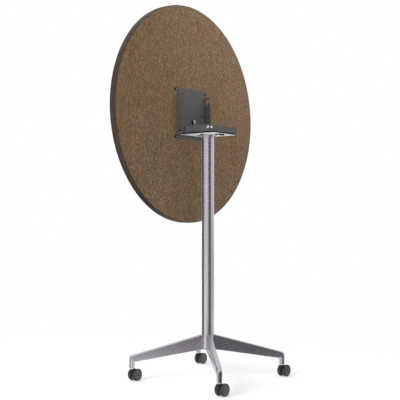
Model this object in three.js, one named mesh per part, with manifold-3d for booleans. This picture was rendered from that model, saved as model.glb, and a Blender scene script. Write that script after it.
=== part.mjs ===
// Standing meeting table: a round top that flips up on a latch bracket, a round column and four caster legs.
// Millimetres, +Z up. The origin is on the floor under the column axis. The top is modelled flat and stored
// flipped up, with its underside facing -Y. X runs along the flip axis.
import * as THREE from "three";
import { mergeVertices } from "three/addons/utils/BufferGeometryUtils.js";
import Module from "manifold-3d";

const wasm = await Module();
wasm.setup();

// Clearances
const SEAT_GAP = 0.3; // between pieces that seat on each other
const RUNNING_GAP = 0.3; // round a shaft that turns or slides
const SWING_GAP = 1.5; // between the flipping bracket and the fixed tray

// Tabletop
const TOP_DIAMETER = 914.4;
const TOP_THICKNESS = 29;
const LAMINATE = 0.8;
const EDGE_BAND = 2.5;
const EDGE_ROUND = 1.5;

// Flip hinge: the axis lies below the flat top and behind the column, so the flat top centres on the column
const HINGE_HEIGHT = 1035;
const HINGE_SETBACK = 72;
const HINGE_TO_UNDERSIDE = 21;
const STOWED_ANGLE = -Math.PI / 2;

// Sheet metal brackets
const SHEET = 3;
const BEND_RADIUS = 5;

// Mounting bracket under the top: a channel with hooked flanges and four screw ears
const BRACKET_WIDTH = 185.4;
const BRACKET_LENGTH = 214;
const BRACKET_CORNER = 6;
const FLANGE_REACH = 17; // below the hinge axis, and the radius of the flange's hinge end
const HOOK_END = 153; // from the hinge axis to the flange's free end
const HOOK_BAR = 6.5;
const HOOK_TOOTH_ROOT = 124.5;
const HOOK_TOOTH_TIP = 136.5;
const HOOK_TOOTH_TIP_DROP = 4.4;
const EAR_OUTREACH = 7.3; // from the flange's outer face to the screw
const EAR_PITCH_X = BRACKET_WIDTH + 2 * EAR_OUTREACH;
const EAR_PITCH_Y = 198;
const EAR_RADIUS = 8.5;
const WEB_HOLE_DIAMETER = 5;
const WEB_HOLE_INSET = 17.7; // from the flange's outer face
const BUMPER_X = 12;
const BUMPER_FROM_HINGE = 42;

// Wood screws
const SCREW_DIAMETER = 4.4;
const SCREW_HEAD_DIAMETER = 11;
const SCREW_HEAD = 2.6;
const SCREW_LENGTH = 22;

// Rubber bumper on the web, held by a small screw
const BUMPER_DIAMETER = 17;
const BUMPER_HEIGHT = 8;
const BUMPER_RIM = 1.5;
const BUMPER_SCREW_HEAD_DIAMETER = 12;

// Fixed tray, inside the bracket's flanges
const BUSH_FLANGE = 5.1; // the hinge bush's flange fills the gap between flange and tray wall
const TRAY_WIDTH = BRACKET_WIDTH - 2 * (SHEET + BUSH_FLANGE + 2 * SEAT_GAP);
const TRAY_FRONT = 88; // from the column axis to the front wall's outer face
const TRAY_FLOOR_BELOW_HINGE = 12; // to the floor's underside
const TRAY_FRONT_WALL = 22;
const TRAY_CORNER = 9;
const FRONT_WALL_RELIEF = 1;

// Support plate on the column
const PLATE_INSET = 3; // from the tray's sides
const PLATE_WIDTH = TRAY_WIDTH - 2 * PLATE_INSET;
const PLATE_REAR = 82;
const PLATE_THICKNESS = 6;
const PLATE_CORNER = 6;
const BOLT_RADIUS = 43; // from the column axis
const BOLT_DIAMETER = 6;
const BOLT_HEAD_DIAMETER = 12;
const BOLT_HEAD = 3.4;
const NUT_ACROSS_CORNERS = 11.5;
const NUT_HEIGHT = 5;

// Hinge pins and bushes
const PIN_DIAMETER = 8;
const PIN_HEAD_DIAMETER = 12;
const PIN_HEAD = 2.5;
const BUSH_SLEEVE_DIAMETER = 12;
const BUSH_FLANGE_DIAMETER = 20;

// Latch: a sprung rod that the flange hooks drop over, drawn forward by a trigger
const ROD_DIAMETER = 8;
const ROD_OVERHANG = 2.3; // past the outer faces of the flanges
const ROD_ABOVE_HINGE = 3.8;
const LATCH_TRAVEL = 14.6;
const NOTCH_PLAY = 0.8;
const SLOT_HEIGHT = 11.5;
const CLIP_DIAMETER = 14;
const CLIP = 1.2;
const TRIGGER_WIDTH = 36;
const TRIGGER_HUB_DIAMETER = 14;
const TRIGGER_BLADE = 5;
const TRIGGER_DROP = 6; // below the support plate
const WINDOW_WIDTH = 44;
const WINDOW_PLAY = 3;
const SPRING_X = 55;
const SPRING_DIAMETER = 9;
const SPRING_WIRE = 1.5;
const SPRING_TURNS = 9;
const ANCHOR_FORWARD = 15; // from the column axis
const ANCHOR_DIAMETER = 6;
const ANCHOR_HEAD_DIAMETER = 10;
const ANCHOR_HEAD = 2;

// Column
const COLUMN_DIAMETER = 50.8;
const COLUMN_WALL = 2;
const COLUMN_BOTTOM = 128.5;
const PLUG_RIM = 2.5;
const PLUG_SPIGOT = 16;

// Legs: tapered blades that turn down into round posts
const LEG_WIDTH = 22;
const LEG_REACH = 315; // from the column axis to the caster stem
const LEG_TOP_AT_COLUMN = 194;
const LEG_TOP_AT_END = 107;
const LEG_UNDER_AT_END = 80.5;
const LEG_KNEE_RADIUS = 14;
const LEG_FILLET = 9;
const LEG_EDGE_ROUND = 4;
const POST_BOTTOM = 54.5;

// Casters: twin wheels that trail their stem
const WHEEL_DIAMETER = 49.6;
const WHEEL_WIDTH = 14;
const WHEEL_SPACING = 12; // between the two wheels' inner faces
const WHEEL_TREAD_ROUND = 3;
const WHEEL_DISH = 2.4;
const CASTER_TRAIL = 17;
const CASTER_TURN = 0;
const AXLE_DIAMETER = 6;
const AXLE_CAP_DIAMETER = 9;
const AXLE_CAP = 1.2;
const HOOD_DIAMETER = 43;
const HOOD_SEAT = 50;
const HOOD_COLLAR_DIAMETER = 16;
const HOOD_COLLAR = 1.5;
const STEM_DIAMETER = 11;
const STEM_LENGTH = 36; // inside the post
const STEM_NECK_DIAMETER = 14.5;
const STEM_SPIGOT_DIAMETER = 7;
const STEM_SPIGOT = 16; // inside the hood

// Facets of round pieces
const TOP_FACETS = 64;
const TUBE_FACETS = 28;
const ROUND_FACETS = 14;
const SMALL_FACETS = 10;
const WHEEL_FACETS = 18;
const BEND_FACETS = 2; // half the steps of an arc in an extruded outline
const ARC_FACETS = 4;
const NOSE_FACETS = 6;
const COIL_STEPS = 7; // along each turn of wire

// Worked-out places
const UNDERSIDE = HINGE_TO_UNDERSIDE;
const WEB_TOP = UNDERSIDE - SEAT_GAP;
const WEB_FACE = WEB_TOP - SHEET;
const FLANGE_OUTER = BRACKET_WIDTH / 2;
const FLANGE_INNER = FLANGE_OUTER - SHEET;
const TRAY_OUTER = TRAY_WIDTH / 2;
const TRAY_INNER = TRAY_OUTER - SHEET;
const TRAY_UNDERSIDE = HINGE_HEIGHT - TRAY_FLOOR_BELOW_HINGE;
const TRAY_FLOOR = TRAY_UNDERSIDE + SHEET;
const TRAY_EAR_RADIUS = WEB_FACE - SWING_GAP; // side walls end round about the hinge, clear of the web
const TRAY_WALL_TOP = HINGE_HEIGHT + TRAY_EAR_RADIUS;
const PLATE_UNDERSIDE = TRAY_UNDERSIDE - PLATE_THICKNESS;
const ROD_HEIGHT = HINGE_HEIGHT + ROD_ABOVE_HINGE;
const ROD_MIDWAY = (HOOK_TOOTH_TIP + HOOK_END - HOOK_BAR) / 2;
const ROD_Y = HINGE_SETBACK - ROD_MIDWAY; // released: midway between the tooth tip and the hook's bar
const LATCHED_Y = ROD_Y + LATCH_TRAVEL;
const LEG_COLUMN_RADIUS = COLUMN_DIAMETER / 2 + SEAT_GAP;
const POST_RADIUS = LEG_WIDTH / 2;
const CORNERS = [
  { name: "front_left", x: -1, y: -1 },
  { name: "front_right", x: 1, y: -1 },
  { name: "rear_left", x: -1, y: 1 },
  { name: "rear_right", x: 1, y: 1 },
];
const SIDES = [
  { name: "left", x: -1 },
  { name: "right", x: 1 },
];

// Finishes
const FINISH = {
  silver: { color: 0xb9b6bd, roughness: 0.38, metalness: 0.7 },
  charcoal: { color: 0x555555, roughness: 0.55, metalness: 0.2 },
  zinc: { color: 0xc8c8c6, roughness: 0.3, metalness: 0.9 },
  blackSteel: { color: 0x242424, roughness: 0.5, metalness: 0.6 },
  blackPlastic: { color: 0x1e1e1f, roughness: 0.5, metalness: 0 },
  tread: { color: 0x474748, roughness: 0.7, metalness: 0 },
  nylon: { color: 0xd9d6cd, roughness: 0.5, metalness: 0 },
  underside: { color: 0x77624d, roughness: 0.6, metalness: 0 },
  surface: { color: 0x7d6650, roughness: 0.45, metalness: 0 },
  board: { color: 0xb59467, roughness: 0.9, metalness: 0 },
  band: { color: 0x564c44, roughness: 0.5, metalness: 0 },
};

// Solids: a closed geometry becomes a solid that can be joined and cut
function solid(geometry) {
  const bare = new THREE.BufferGeometry();
  bare.setAttribute("position", geometry.getAttribute("position"));
  if (geometry.index) bare.setIndex(geometry.index);
  const merged = mergeVertices(bare, 1e-4);
  const corners = merged.index.array;
  const kept = [];
  for (let i = 0; i < corners.length; i += 3) {
    const [a, b, c] = corners.slice(i, i + 3);
    if (a !== b && b !== c && c !== a) kept.push(a, b, c);
  }
  const mesh = new wasm.Mesh({
    numProp: 3,
    vertProperties: new Float32Array(merged.getAttribute("position").array),
    triVerts: new Uint32Array(kept),
  });
  return new wasm.Manifold(mesh);
}

function geometryOf(body) {
  const mesh = body.getMesh();
  const geometry = new THREE.BufferGeometry();
  geometry.setAttribute("position", new THREE.BufferAttribute(mesh.vertProperties, 3));
  geometry.setIndex(new THREE.BufferAttribute(mesh.triVerts, 1));
  geometry.computeVertexNormals();
  return geometry;
}

function join(first, ...others) {
  return others.reduce((body, other) => body.add(other), first);
}

function cut(first, ...tools) {
  return tools.reduce((body, tool) => body.subtract(tool), first);
}

// Extrusions along each axis: a shape's own x and y are (x, y), (x, z) or (y, z)
const AXIS_X = new THREE.Vector3(1, 0, 0);
const AXIS_Y = new THREE.Vector3(0, 1, 0);
const AXIS_Z = new THREE.Vector3(0, 0, 1);

function extrude(shape, depth, facets) {
  return new THREE.ExtrudeGeometry(shape, { depth, bevelEnabled: false, curveSegments: facets });
}

function extrudeZ(shape, from, to, facets = BEND_FACETS) {
  return solid(extrude(shape, to - from, facets).translate(0, 0, from));
}

function extrudeY(shape, from, to, facets = BEND_FACETS) {
  const turned = new THREE.Matrix4().makeBasis(AXIS_X, AXIS_Z, AXIS_Y.clone().negate());
  return solid(extrude(shape, to - from, facets).applyMatrix4(turned).translate(0, to, 0));
}

function extrudeX(shape, from, to, facets = BEND_FACETS) {
  const turned = new THREE.Matrix4().makeBasis(AXIS_Y, AXIS_Z, AXIS_X);
  return solid(extrude(shape, to - from, facets).applyMatrix4(turned).translate(from, 0, 0));
}

// A revolved profile of [radius, height] points, about Z, X or Y
function revolve(profile, facets, axis = AXIS_Z) {
  const points = profile.map(([radius, height]) => new THREE.Vector2(radius, height));
  const lathe = new THREE.LatheGeometry(points, facets);
  lathe.applyQuaternion(new THREE.Quaternion().setFromUnitVectors(AXIS_Y, axis));
  return solid(lathe);
}

function rod(radius, from, to, facets, axis = AXIS_Z) {
  return revolve([[0, from], [radius, from], [radius, to], [0, to]], facets, axis);
}

function ring(inner, outer, from, to, facets, axis = AXIS_Z) {
  const profile = [[inner, from], [outer, from], [outer, to], [inner, to], [inner, from]];
  return revolve(profile, facets, axis);
}

// A rectangle with round corners
function roundedRectangle(left, right, low, high, radius) {
  const shape = new THREE.Shape();
  shape.moveTo(left + radius, low);
  shape.lineTo(right - radius, low);
  shape.absarc(right - radius, low + radius, radius, -Math.PI / 2, 0);
  shape.lineTo(right, high - radius);
  shape.absarc(right - radius, high - radius, radius, 0, Math.PI / 2);
  shape.lineTo(left + radius, high);
  shape.absarc(left + radius, high - radius, radius, Math.PI / 2, Math.PI);
  shape.lineTo(left, low + radius);
  shape.absarc(left + radius, low + radius, radius, Math.PI, 1.5 * Math.PI);
  return shape;
}

// A slot with round ends, its long side along the shape's x
function obround(left, right, middle, height) {
  return roundedRectangle(left, right, middle - height / 2, middle + height / 2, height / 2 - 1e-3);
}

// The folded section of a sheet channel, standing on y = 0 with its legs up
function channelSection(width, height) {
  const half = width / 2;
  const inside = BEND_RADIUS - SHEET;
  const shape = new THREE.Shape();
  shape.moveTo(-half, height);
  shape.lineTo(-half, BEND_RADIUS);
  shape.absarc(-half + BEND_RADIUS, BEND_RADIUS, BEND_RADIUS, Math.PI, 1.5 * Math.PI);
  shape.lineTo(half - BEND_RADIUS, 0);
  shape.absarc(half - BEND_RADIUS, BEND_RADIUS, BEND_RADIUS, -Math.PI / 2, 0);
  shape.lineTo(half, height);
  shape.lineTo(half - SHEET, height);
  shape.lineTo(half - SHEET, BEND_RADIUS);
  shape.absarc(half - BEND_RADIUS, BEND_RADIUS, inside, 0, -Math.PI / 2, true);
  shape.lineTo(-half + BEND_RADIUS, SHEET);
  shape.absarc(-half + BEND_RADIUS, BEND_RADIUS, inside, -Math.PI / 2, -Math.PI, true);
  shape.lineTo(-half + SHEET, height);
  return shape;
}

// Scene graph: the fixed base, the flipping top about the hinge, the latch about its rod, and the casters
const table = new THREE.Group();
const base = new THREE.Group();
const top = new THREE.Group();
const latch = new THREE.Group();
table.add(base, top, latch);
top.position.set(0, HINGE_SETBACK, HINGE_HEIGHT);
top.rotation.x = STOWED_ANGLE;
latch.position.set(0, ROD_Y, ROD_HEIGHT);

function piece(parent, name, body, finish) {
  const mesh = new THREE.Mesh(geometryOf(body), new THREE.MeshStandardMaterial(FINISH[finish]));
  mesh.name = name;
  parent.add(mesh);
  return mesh;
}

// Tabletop, in the flipping frame: flat, with its centre forward of the hinge
const SCREW_PLACES = CORNERS.map(({ name, x, y }) => ({
  name,
  x: (x * EAR_PITCH_X) / 2,
  y: -HINGE_SETBACK + (y * EAR_PITCH_Y) / 2,
}));
const BUMPER_PLACE = { x: BUMPER_X, y: -BUMPER_FROM_HINGE };
const SCREW_HOLE_RADIUS = SCREW_DIAMETER / 2 + RUNNING_GAP;

function screwHoles(from, to) {
  return [...SCREW_PLACES, BUMPER_PLACE].map(({ x, y }) =>
    rod(SCREW_HOLE_RADIUS, from, to, SMALL_FACETS).translate([x, y, 0]),
  );
}

function buildTabletop() {
  const radius = TOP_DIAMETER / 2;
  const inner = radius - EDGE_BAND;
  const surface = UNDERSIDE + TOP_THICKNESS;
  const coreLow = UNDERSIDE + LAMINATE + SEAT_GAP;
  const coreHigh = surface - LAMINATE - SEAT_GAP;
  const screwEnd = WEB_FACE + SCREW_LENGTH + 2 * SEAT_GAP;
  const disc = (outer, from, to) => rod(outer, from, to, TOP_FACETS).translate([0, -HINGE_SETBACK, 0]);
  piece(top, "tabletop_core", cut(disc(inner - SEAT_GAP, coreLow, coreHigh), ...screwHoles(0, screwEnd)), "board");
  piece(top, "top_laminate", disc(inner - SEAT_GAP, surface - LAMINATE, surface), "surface");
  const backer = disc(inner - SEAT_GAP, UNDERSIDE, UNDERSIDE + LAMINATE);
  piece(top, "underside_laminate", cut(backer, ...screwHoles(0, screwEnd)), "underside");
  const band = [
    [inner, UNDERSIDE],
    [radius - EDGE_ROUND, UNDERSIDE],
    [radius, UNDERSIDE + EDGE_ROUND],
    [radius, surface - EDGE_ROUND],
    [radius - EDGE_ROUND, surface],
    [inner, surface],
    [inner, UNDERSIDE],
  ];
  piece(top, "edge_band", revolve(band, TOP_FACETS).translate([0, -HINGE_SETBACK, 0]), "band");
}

// Mounting bracket: web, ears and two flanges with a J-shaped hook
function flangeOutline() {
  const notchLow = ROD_ABOVE_HINGE - ROD_DIAMETER / 2 - NOTCH_PLAY; // heights above the hinge, top flat
  const notchHigh = ROD_ABOVE_HINGE + ROD_DIAMETER / 2 + NOTCH_PLAY;
  const notchRadius = (notchHigh - notchLow) / 2;
  const latched = HINGE_SETBACK - LATCHED_Y;
  const shape = new THREE.Shape();
  shape.moveTo(FLANGE_REACH, WEB_TOP);
  shape.lineTo(-HOOK_END, WEB_TOP);
  shape.lineTo(-HOOK_END, -FLANGE_REACH);
  shape.lineTo(-HOOK_END + HOOK_BAR, -FLANGE_REACH);
  shape.lineTo(-HOOK_END + HOOK_BAR, notchHigh - notchRadius);
  shape.absarc(-HOOK_END + HOOK_BAR + notchRadius, notchHigh - notchRadius, notchRadius, Math.PI, Math.PI / 2, true);
  shape.absarc(-latched, notchHigh - notchRadius, notchRadius, Math.PI / 2, -Math.PI / 2, true);
  shape.lineTo(-HOOK_TOOTH_TIP, -HOOK_TOOTH_TIP_DROP);
  shape.lineTo(-HOOK_TOOTH_ROOT, -FLANGE_REACH);
  shape.lineTo(0, -FLANGE_REACH);
  shape.absarc(0, 0, FLANGE_REACH, -Math.PI / 2, 0);
  return shape;
}

function buildBracket() {
  const middle = -HINGE_SETBACK;
  const [low, high] = [middle - BRACKET_LENGTH / 2, middle + BRACKET_LENGTH / 2];
  const folded = channelSection(BRACKET_WIDTH, WEB_TOP + FLANGE_REACH);
  const upright = extrudeY(folded, -HOOK_END, FLANGE_REACH);
  const channel = upright.rotate([0, 180, 0]).translate([0, 0, WEB_TOP]);
  const flanges = channel.intersect(extrudeX(flangeOutline(), -FLANGE_OUTER, FLANGE_OUTER, ARC_FACETS));
  const flat = FLANGE_OUTER - BEND_RADIUS;
  const web = extrudeZ(roundedRectangle(-flat, flat, low, high, BRACKET_CORNER), WEB_FACE, WEB_TOP);
  const ears = SCREW_PLACES.map(({ x, y }) => {
    const inward = Math.sign(x) * (flat - EAR_RADIUS);
    const [left, right] = [Math.min(x, inward) - EAR_RADIUS, Math.max(x, inward) + EAR_RADIUS];
    const ear = roundedRectangle(left, right, y - EAR_RADIUS, y + EAR_RADIUS, EAR_RADIUS - 1e-3);
    return extrudeZ(ear, WEB_FACE, WEB_TOP);
  });
  const hingeHoleRadius = BUSH_SLEEVE_DIAMETER / 2 + SEAT_GAP;
  const hingeHole = rod(hingeHoleRadius, -FLANGE_OUTER - 1, FLANGE_OUTER + 1, ROUND_FACETS, AXIS_X);
  const webHoles = SIDES.map(({ x }) =>
    rod(WEB_HOLE_DIAMETER / 2, 0, UNDERSIDE, SMALL_FACETS).translate([x * (FLANGE_OUTER - WEB_HOLE_INSET), middle, 0]),
  );
  const body = cut(join(web, flanges, ...ears), hingeHole, ...webHoles, ...screwHoles(0, UNDERSIDE));
  piece(top, "mounting_bracket", body, "charcoal");
}

// Screws: a domed head under its seat and a shank up into the board
function screw(seat, headDiameter) {
  const head = headDiameter / 2;
  const shank = SCREW_DIAMETER / 2;
  const tip = WEB_FACE + SCREW_LENGTH;
  const profile = [
    [0, seat - SCREW_HEAD],
    [head * 0.6, seat - SCREW_HEAD],
    [head * 0.92, seat - SCREW_HEAD * 0.6],
    [head, seat],
    [shank, seat],
    [shank, tip - SCREW_DIAMETER],
    [0, tip],
  ];
  return revolve(profile, SMALL_FACETS);
}

function buildScrews() {
  const seat = WEB_FACE - SEAT_GAP;
  for (const { name, x, y } of SCREW_PLACES)
    piece(top, `bracket_screw_${name}`, screw(seat, SCREW_HEAD_DIAMETER), "blackSteel").position.set(x, y, 0);
  const { x, y } = BUMPER_PLACE;
  const outer = BUMPER_DIAMETER / 2;
  const end = seat - BUMPER_HEIGHT;
  const bumper = [
    [SCREW_HOLE_RADIUS, end],
    [outer - BUMPER_RIM, end],
    [outer, end + BUMPER_RIM],
    [outer, seat],
    [SCREW_HOLE_RADIUS, seat],
    [SCREW_HOLE_RADIUS, end],
  ];
  piece(top, "web_bumper", revolve(bumper, ROUND_FACETS), "blackPlastic").position.set(x, y, 0);
  const bumperScrew = screw(end - SEAT_GAP, BUMPER_SCREW_HEAD_DIAMETER);
  piece(top, "bumper_screw", bumperScrew, "zinc").position.set(x, y, 0);
}

// Hinge: a pin riveted through each tray wall, and a nylon bush in each flange
function buildHinge() {
  const shaft = PIN_DIAMETER / 2;
  const head = PIN_HEAD_DIAMETER / 2;
  const innerSeat = TRAY_INNER - SEAT_GAP;
  const outerSeat = FLANGE_OUTER + SEAT_GAP;
  const pin = [
    [0, innerSeat - PIN_HEAD],
    [head, innerSeat - PIN_HEAD],
    [head, innerSeat],
    [shaft, innerSeat],
    [shaft, outerSeat],
    [head, outerSeat],
    [head * 0.8, outerSeat + PIN_HEAD],
    [0, outerSeat + PIN_HEAD],
  ];
  const bore = shaft + RUNNING_GAP;
  const flangeLow = TRAY_OUTER + SEAT_GAP;
  const flangeHigh = FLANGE_INNER - SEAT_GAP;
  const bush = [
    [bore, flangeLow],
    [BUSH_FLANGE_DIAMETER / 2, flangeLow],
    [BUSH_FLANGE_DIAMETER / 2, flangeHigh],
    [BUSH_SLEEVE_DIAMETER / 2, flangeHigh],
    [BUSH_SLEEVE_DIAMETER / 2, FLANGE_OUTER],
    [bore, FLANGE_OUTER],
    [bore, flangeLow],
  ];
  for (const { name, x } of SIDES) {
    const axis = AXIS_X.clone().multiplyScalar(x);
    const pinMesh = piece(base, `pivot_pin_${name}`, revolve(pin, ROUND_FACETS, axis), "blackSteel");
    pinMesh.position.set(0, HINGE_SETBACK, HINGE_HEIGHT);
    piece(top, `pivot_bush_${name}`, revolve(bush, ROUND_FACETS, axis), "nylon");
  }
}

// The finger window lets the trigger pass through the tray and the plate over its whole travel
const WINDOW_FRONT = ROD_Y - TRIGGER_BLADE / 2 - WINDOW_PLAY;
const WINDOW_REAR = LATCHED_Y + TRIGGER_BLADE / 2 + WINDOW_PLAY;

function fingerWindow(from, to) {
  const half = WINDOW_WIDTH / 2;
  return extrudeZ(roundedRectangle(-half, half, WINDOW_FRONT, WINDOW_REAR, WINDOW_PLAY), from, to);
}

const BOLT_PLACES = [0, 1, 2, 3].map((quarter) => {
  const angle = (quarter * Math.PI) / 2;
  return { x: BOLT_RADIUS * Math.cos(angle), y: BOLT_RADIUS * Math.sin(angle) };
});

function boltHoles(from, to) {
  const radius = BOLT_DIAMETER / 2 + SEAT_GAP;
  return BOLT_PLACES.map(({ x, y }) => rod(radius, from, to, SMALL_FACETS).translate([x, y, 0]));
}

// Tray: a folded channel trimmed to its side outline, with a lower front wall
function trayOutline() {
  const front = -TRAY_FRONT;
  const shape = new THREE.Shape();
  shape.moveTo(front, TRAY_UNDERSIDE);
  shape.lineTo(PLATE_REAR, TRAY_UNDERSIDE);
  shape.absarc(HINGE_SETBACK, HINGE_HEIGHT, TRAY_EAR_RADIUS, -Math.PI / 4, Math.PI / 2);
  shape.lineTo(front + TRAY_CORNER, TRAY_WALL_TOP);
  shape.absarc(front + TRAY_CORNER, TRAY_WALL_TOP - TRAY_CORNER, TRAY_CORNER, Math.PI / 2, Math.PI);
  return shape;
}

function buildTray() {
  const front = -TRAY_FRONT;
  const rear = HINGE_SETBACK + TRAY_EAR_RADIUS;
  const section = channelSection(TRAY_WIDTH, TRAY_WALL_TOP - TRAY_UNDERSIDE);
  const channel = extrudeY(section, front, rear).translate([0, 0, TRAY_UNDERSIDE]);
  const trimmed = channel.intersect(extrudeX(trayOutline(), -TRAY_OUTER, TRAY_OUTER, ARC_FACETS));
  const wallHalf = TRAY_INNER - FRONT_WALL_RELIEF;
  const wallTop = TRAY_UNDERSIDE + TRAY_FRONT_WALL;
  const wallShape = roundedRectangle(-wallHalf, wallHalf, TRAY_UNDERSIDE, wallTop, SHEET);
  const frontWall = extrudeY(wallShape, front, front + SHEET);
  const slotEnd = SLOT_HEIGHT / 2;
  const slotShape = obround(ROD_Y - slotEnd, LATCHED_Y + slotEnd, ROD_HEIGHT, SLOT_HEIGHT);
  const slots = extrudeX(slotShape, -TRAY_OUTER - 1, TRAY_OUTER + 1, BEND_FACETS);
  const pinHoleRadius = PIN_DIAMETER / 2 + SEAT_GAP;
  const pinHole = rod(pinHoleRadius, -TRAY_OUTER - 1, TRAY_OUTER + 1, ROUND_FACETS, AXIS_X);
  const floorCuts = [
    fingerWindow(TRAY_UNDERSIDE - 1, TRAY_FLOOR + 1),
    ...boltHoles(TRAY_UNDERSIDE - 1, TRAY_FLOOR + 1),
  ];
  const placedHole = pinHole.translate([0, HINGE_SETBACK, HINGE_HEIGHT]);
  piece(base, "tray", cut(join(trimmed, frontWall), slots, placedHole, ...floorCuts), "charcoal");
}

// Support plate welded on the column, bolted up to the tray
function buildSupport() {
  const half = PLATE_WIDTH / 2;
  const outline = roundedRectangle(-half, half, -TRAY_FRONT, PLATE_REAR, PLATE_CORNER);
  const [low, high] = [PLATE_UNDERSIDE, TRAY_UNDERSIDE];
  const plate = extrudeZ(outline, low, high);
  piece(base, "support_plate", cut(plate, fingerWindow(low - 1, high + 1), ...boltHoles(low - 1, high + 1)), "silver");
  const shaft = BOLT_DIAMETER / 2;
  const head = BOLT_HEAD_DIAMETER / 2;
  const headTop = low - SEAT_GAP;
  const nutLow = TRAY_FLOOR + SEAT_GAP;
  const bolt = [
    [0, headTop - BOLT_HEAD],
    [head * 0.7, headTop - BOLT_HEAD],
    [head, headTop - BOLT_HEAD * 0.5],
    [head, headTop],
    [shaft, headTop],
    [shaft, nutLow + NUT_HEIGHT + 1],
    [0, nutLow + NUT_HEIGHT + 1],
  ];
  BOLT_PLACES.forEach(({ x, y }, index) => {
    const boltMesh = piece(base, `tray_bolt_${index + 1}`, revolve(bolt, SMALL_FACETS), "blackSteel");
    boltMesh.position.set(x, y, 0);
    const hexagon = rod(NUT_ACROSS_CORNERS / 2, nutLow, nutLow + NUT_HEIGHT, 6);
    const thread = rod(shaft + SEAT_GAP, nutLow - 1, nutLow + NUT_HEIGHT + 1, SMALL_FACETS);
    piece(base, `tray_nut_${index + 1}`, cut(hexagon, thread), "zinc").position.set(x, y, 0);
  });
}

// A stretched coil spring along +Y whose wire starts and ends on its axis
class CoilCurve extends THREE.Curve {
  constructor(radius, turns, length) {
    super();
    Object.assign(this, { radius, turns, length });
  }

  getPoint(t, target = new THREE.Vector3()) {
    const lead = 1 / (this.turns + 2);
    const ramp = Math.min(1, Math.min(t, 1 - t) / lead);
    const swell = this.radius * Math.sin((ramp * Math.PI) / 2);
    const angle = 2 * Math.PI * this.turns * t;
    return target.set(swell * Math.cos(angle), this.length * t, swell * Math.sin(angle));
  }
}

function coilSpring(length) {
  const radius = (SPRING_DIAMETER - SPRING_WIRE) / 2;
  const curve = new CoilCurve(radius, SPRING_TURNS, length);
  const section = new THREE.Shape().absarc(0, 0, SPRING_WIRE / 2, 0, 2 * Math.PI);
  const steps = SPRING_TURNS * COIL_STEPS;
  return solid(new THREE.ExtrudeGeometry(section, { steps, curveSegments: BEND_FACETS, extrudePath: curve }));
}

// Latch rod with its clips, the trigger that draws it forward and the springs that draw it back
function triggerOutline() {
  const hub = TRIGGER_HUB_DIAMETER / 2;
  const half = TRIGGER_BLADE / 2;
  const tip = -(ROD_HEIGHT - PLATE_UNDERSIDE) - TRIGGER_DROP + half;
  const neck = -Math.sqrt(hub * hub - half * half);
  const startAngle = Math.atan2(neck, -half);
  const endAngle = Math.atan2(neck, half);
  const shape = new THREE.Shape();
  shape.moveTo(half, neck);
  shape.absarc(0, 0, hub, endAngle, startAngle + 2 * Math.PI);
  shape.lineTo(-half, tip);
  shape.absarc(0, tip, half, Math.PI, 2 * Math.PI);
  shape.holes.push(new THREE.Path().absarc(0, 0, ROD_DIAMETER / 2 + SEAT_GAP, 0, 2 * Math.PI));
  return shape;
}

function buildLatch() {
  const radius = ROD_DIAMETER / 2;
  const end = FLANGE_OUTER + ROD_OVERHANG;
  const tip = radius * 0.75;
  const profile = [[0, -end], [tip, -end], [radius, -end + 1], [radius, end - 1], [tip, end], [0, end]];
  piece(latch, "latch_rod", revolve(profile, ROUND_FACETS, AXIS_X), "zinc");
  const half = TRIGGER_WIDTH / 2;
  piece(latch, "release_trigger", extrudeX(triggerOutline(), -half, half, NOSE_FACETS), "blackPlastic");
  const clipHigh = TRAY_INNER - SEAT_GAP;
  const anchorY = -ANCHOR_FORWARD;
  const springFrom = ROD_Y + radius + SEAT_GAP;
  const springTo = anchorY - ANCHOR_DIAMETER / 2 - SEAT_GAP;
  const anchorShaft = ANCHOR_DIAMETER / 2;
  const anchorHead = ANCHOR_HEAD_DIAMETER / 2;
  const anchorTop = ROD_HEIGHT + SPRING_DIAMETER / 2;
  const anchor = [
    [0, TRAY_FLOOR],
    [anchorHead, TRAY_FLOOR],
    [anchorHead, TRAY_FLOOR + ANCHOR_HEAD],
    [anchorShaft, TRAY_FLOOR + ANCHOR_HEAD],
    [anchorShaft, anchorTop],
    [anchorHead, anchorTop],
    [anchorHead, anchorTop + ANCHOR_HEAD],
    [0, anchorTop + ANCHOR_HEAD],
  ];
  for (const { name, x } of SIDES) {
    const axis = AXIS_X.clone().multiplyScalar(x);
    const clip = ring(radius + SEAT_GAP, CLIP_DIAMETER / 2, clipHigh - CLIP, clipHigh, ROUND_FACETS, axis);
    piece(latch, `rod_clip_${name}`, clip, "blackSteel");
    const spring = piece(base, `latch_spring_${name}`, coilSpring(springTo - springFrom), "zinc");
    spring.position.set(x * SPRING_X, springFrom, ROD_HEIGHT);
    const anchorMesh = piece(base, `spring_anchor_${name}`, revolve(anchor, SMALL_FACETS), "zinc");
    anchorMesh.position.set(x * SPRING_X, anchorY, 0);
  }
}

// Column: a tube closed at its foot by a plug
function buildColumn() {
  const outer = COLUMN_DIAMETER / 2;
  const inner = outer - COLUMN_WALL;
  piece(base, "column", ring(inner, outer, COLUMN_BOTTOM, PLATE_UNDERSIDE, TUBE_FACETS), "silver");
  const spigot = inner - SEAT_GAP;
  const plug = [
    [0, COLUMN_BOTTOM - PLUG_RIM],
    [outer - 1, COLUMN_BOTTOM - PLUG_RIM],
    [outer, COLUMN_BOTTOM - PLUG_RIM + 1],
    [outer, COLUMN_BOTTOM - SEAT_GAP],
    [spigot, COLUMN_BOTTOM - SEAT_GAP],
    [spigot, COLUMN_BOTTOM + PLUG_SPIGOT],
    [spigot - COLUMN_WALL, COLUMN_BOTTOM + PLUG_SPIGOT],
    [spigot - COLUMN_WALL, COLUMN_BOTTOM],
    [0, COLUMN_BOTTOM],
  ];
  piece(base, "column_plug", revolve(plug, TUBE_FACETS), "blackPlastic");
}

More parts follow.
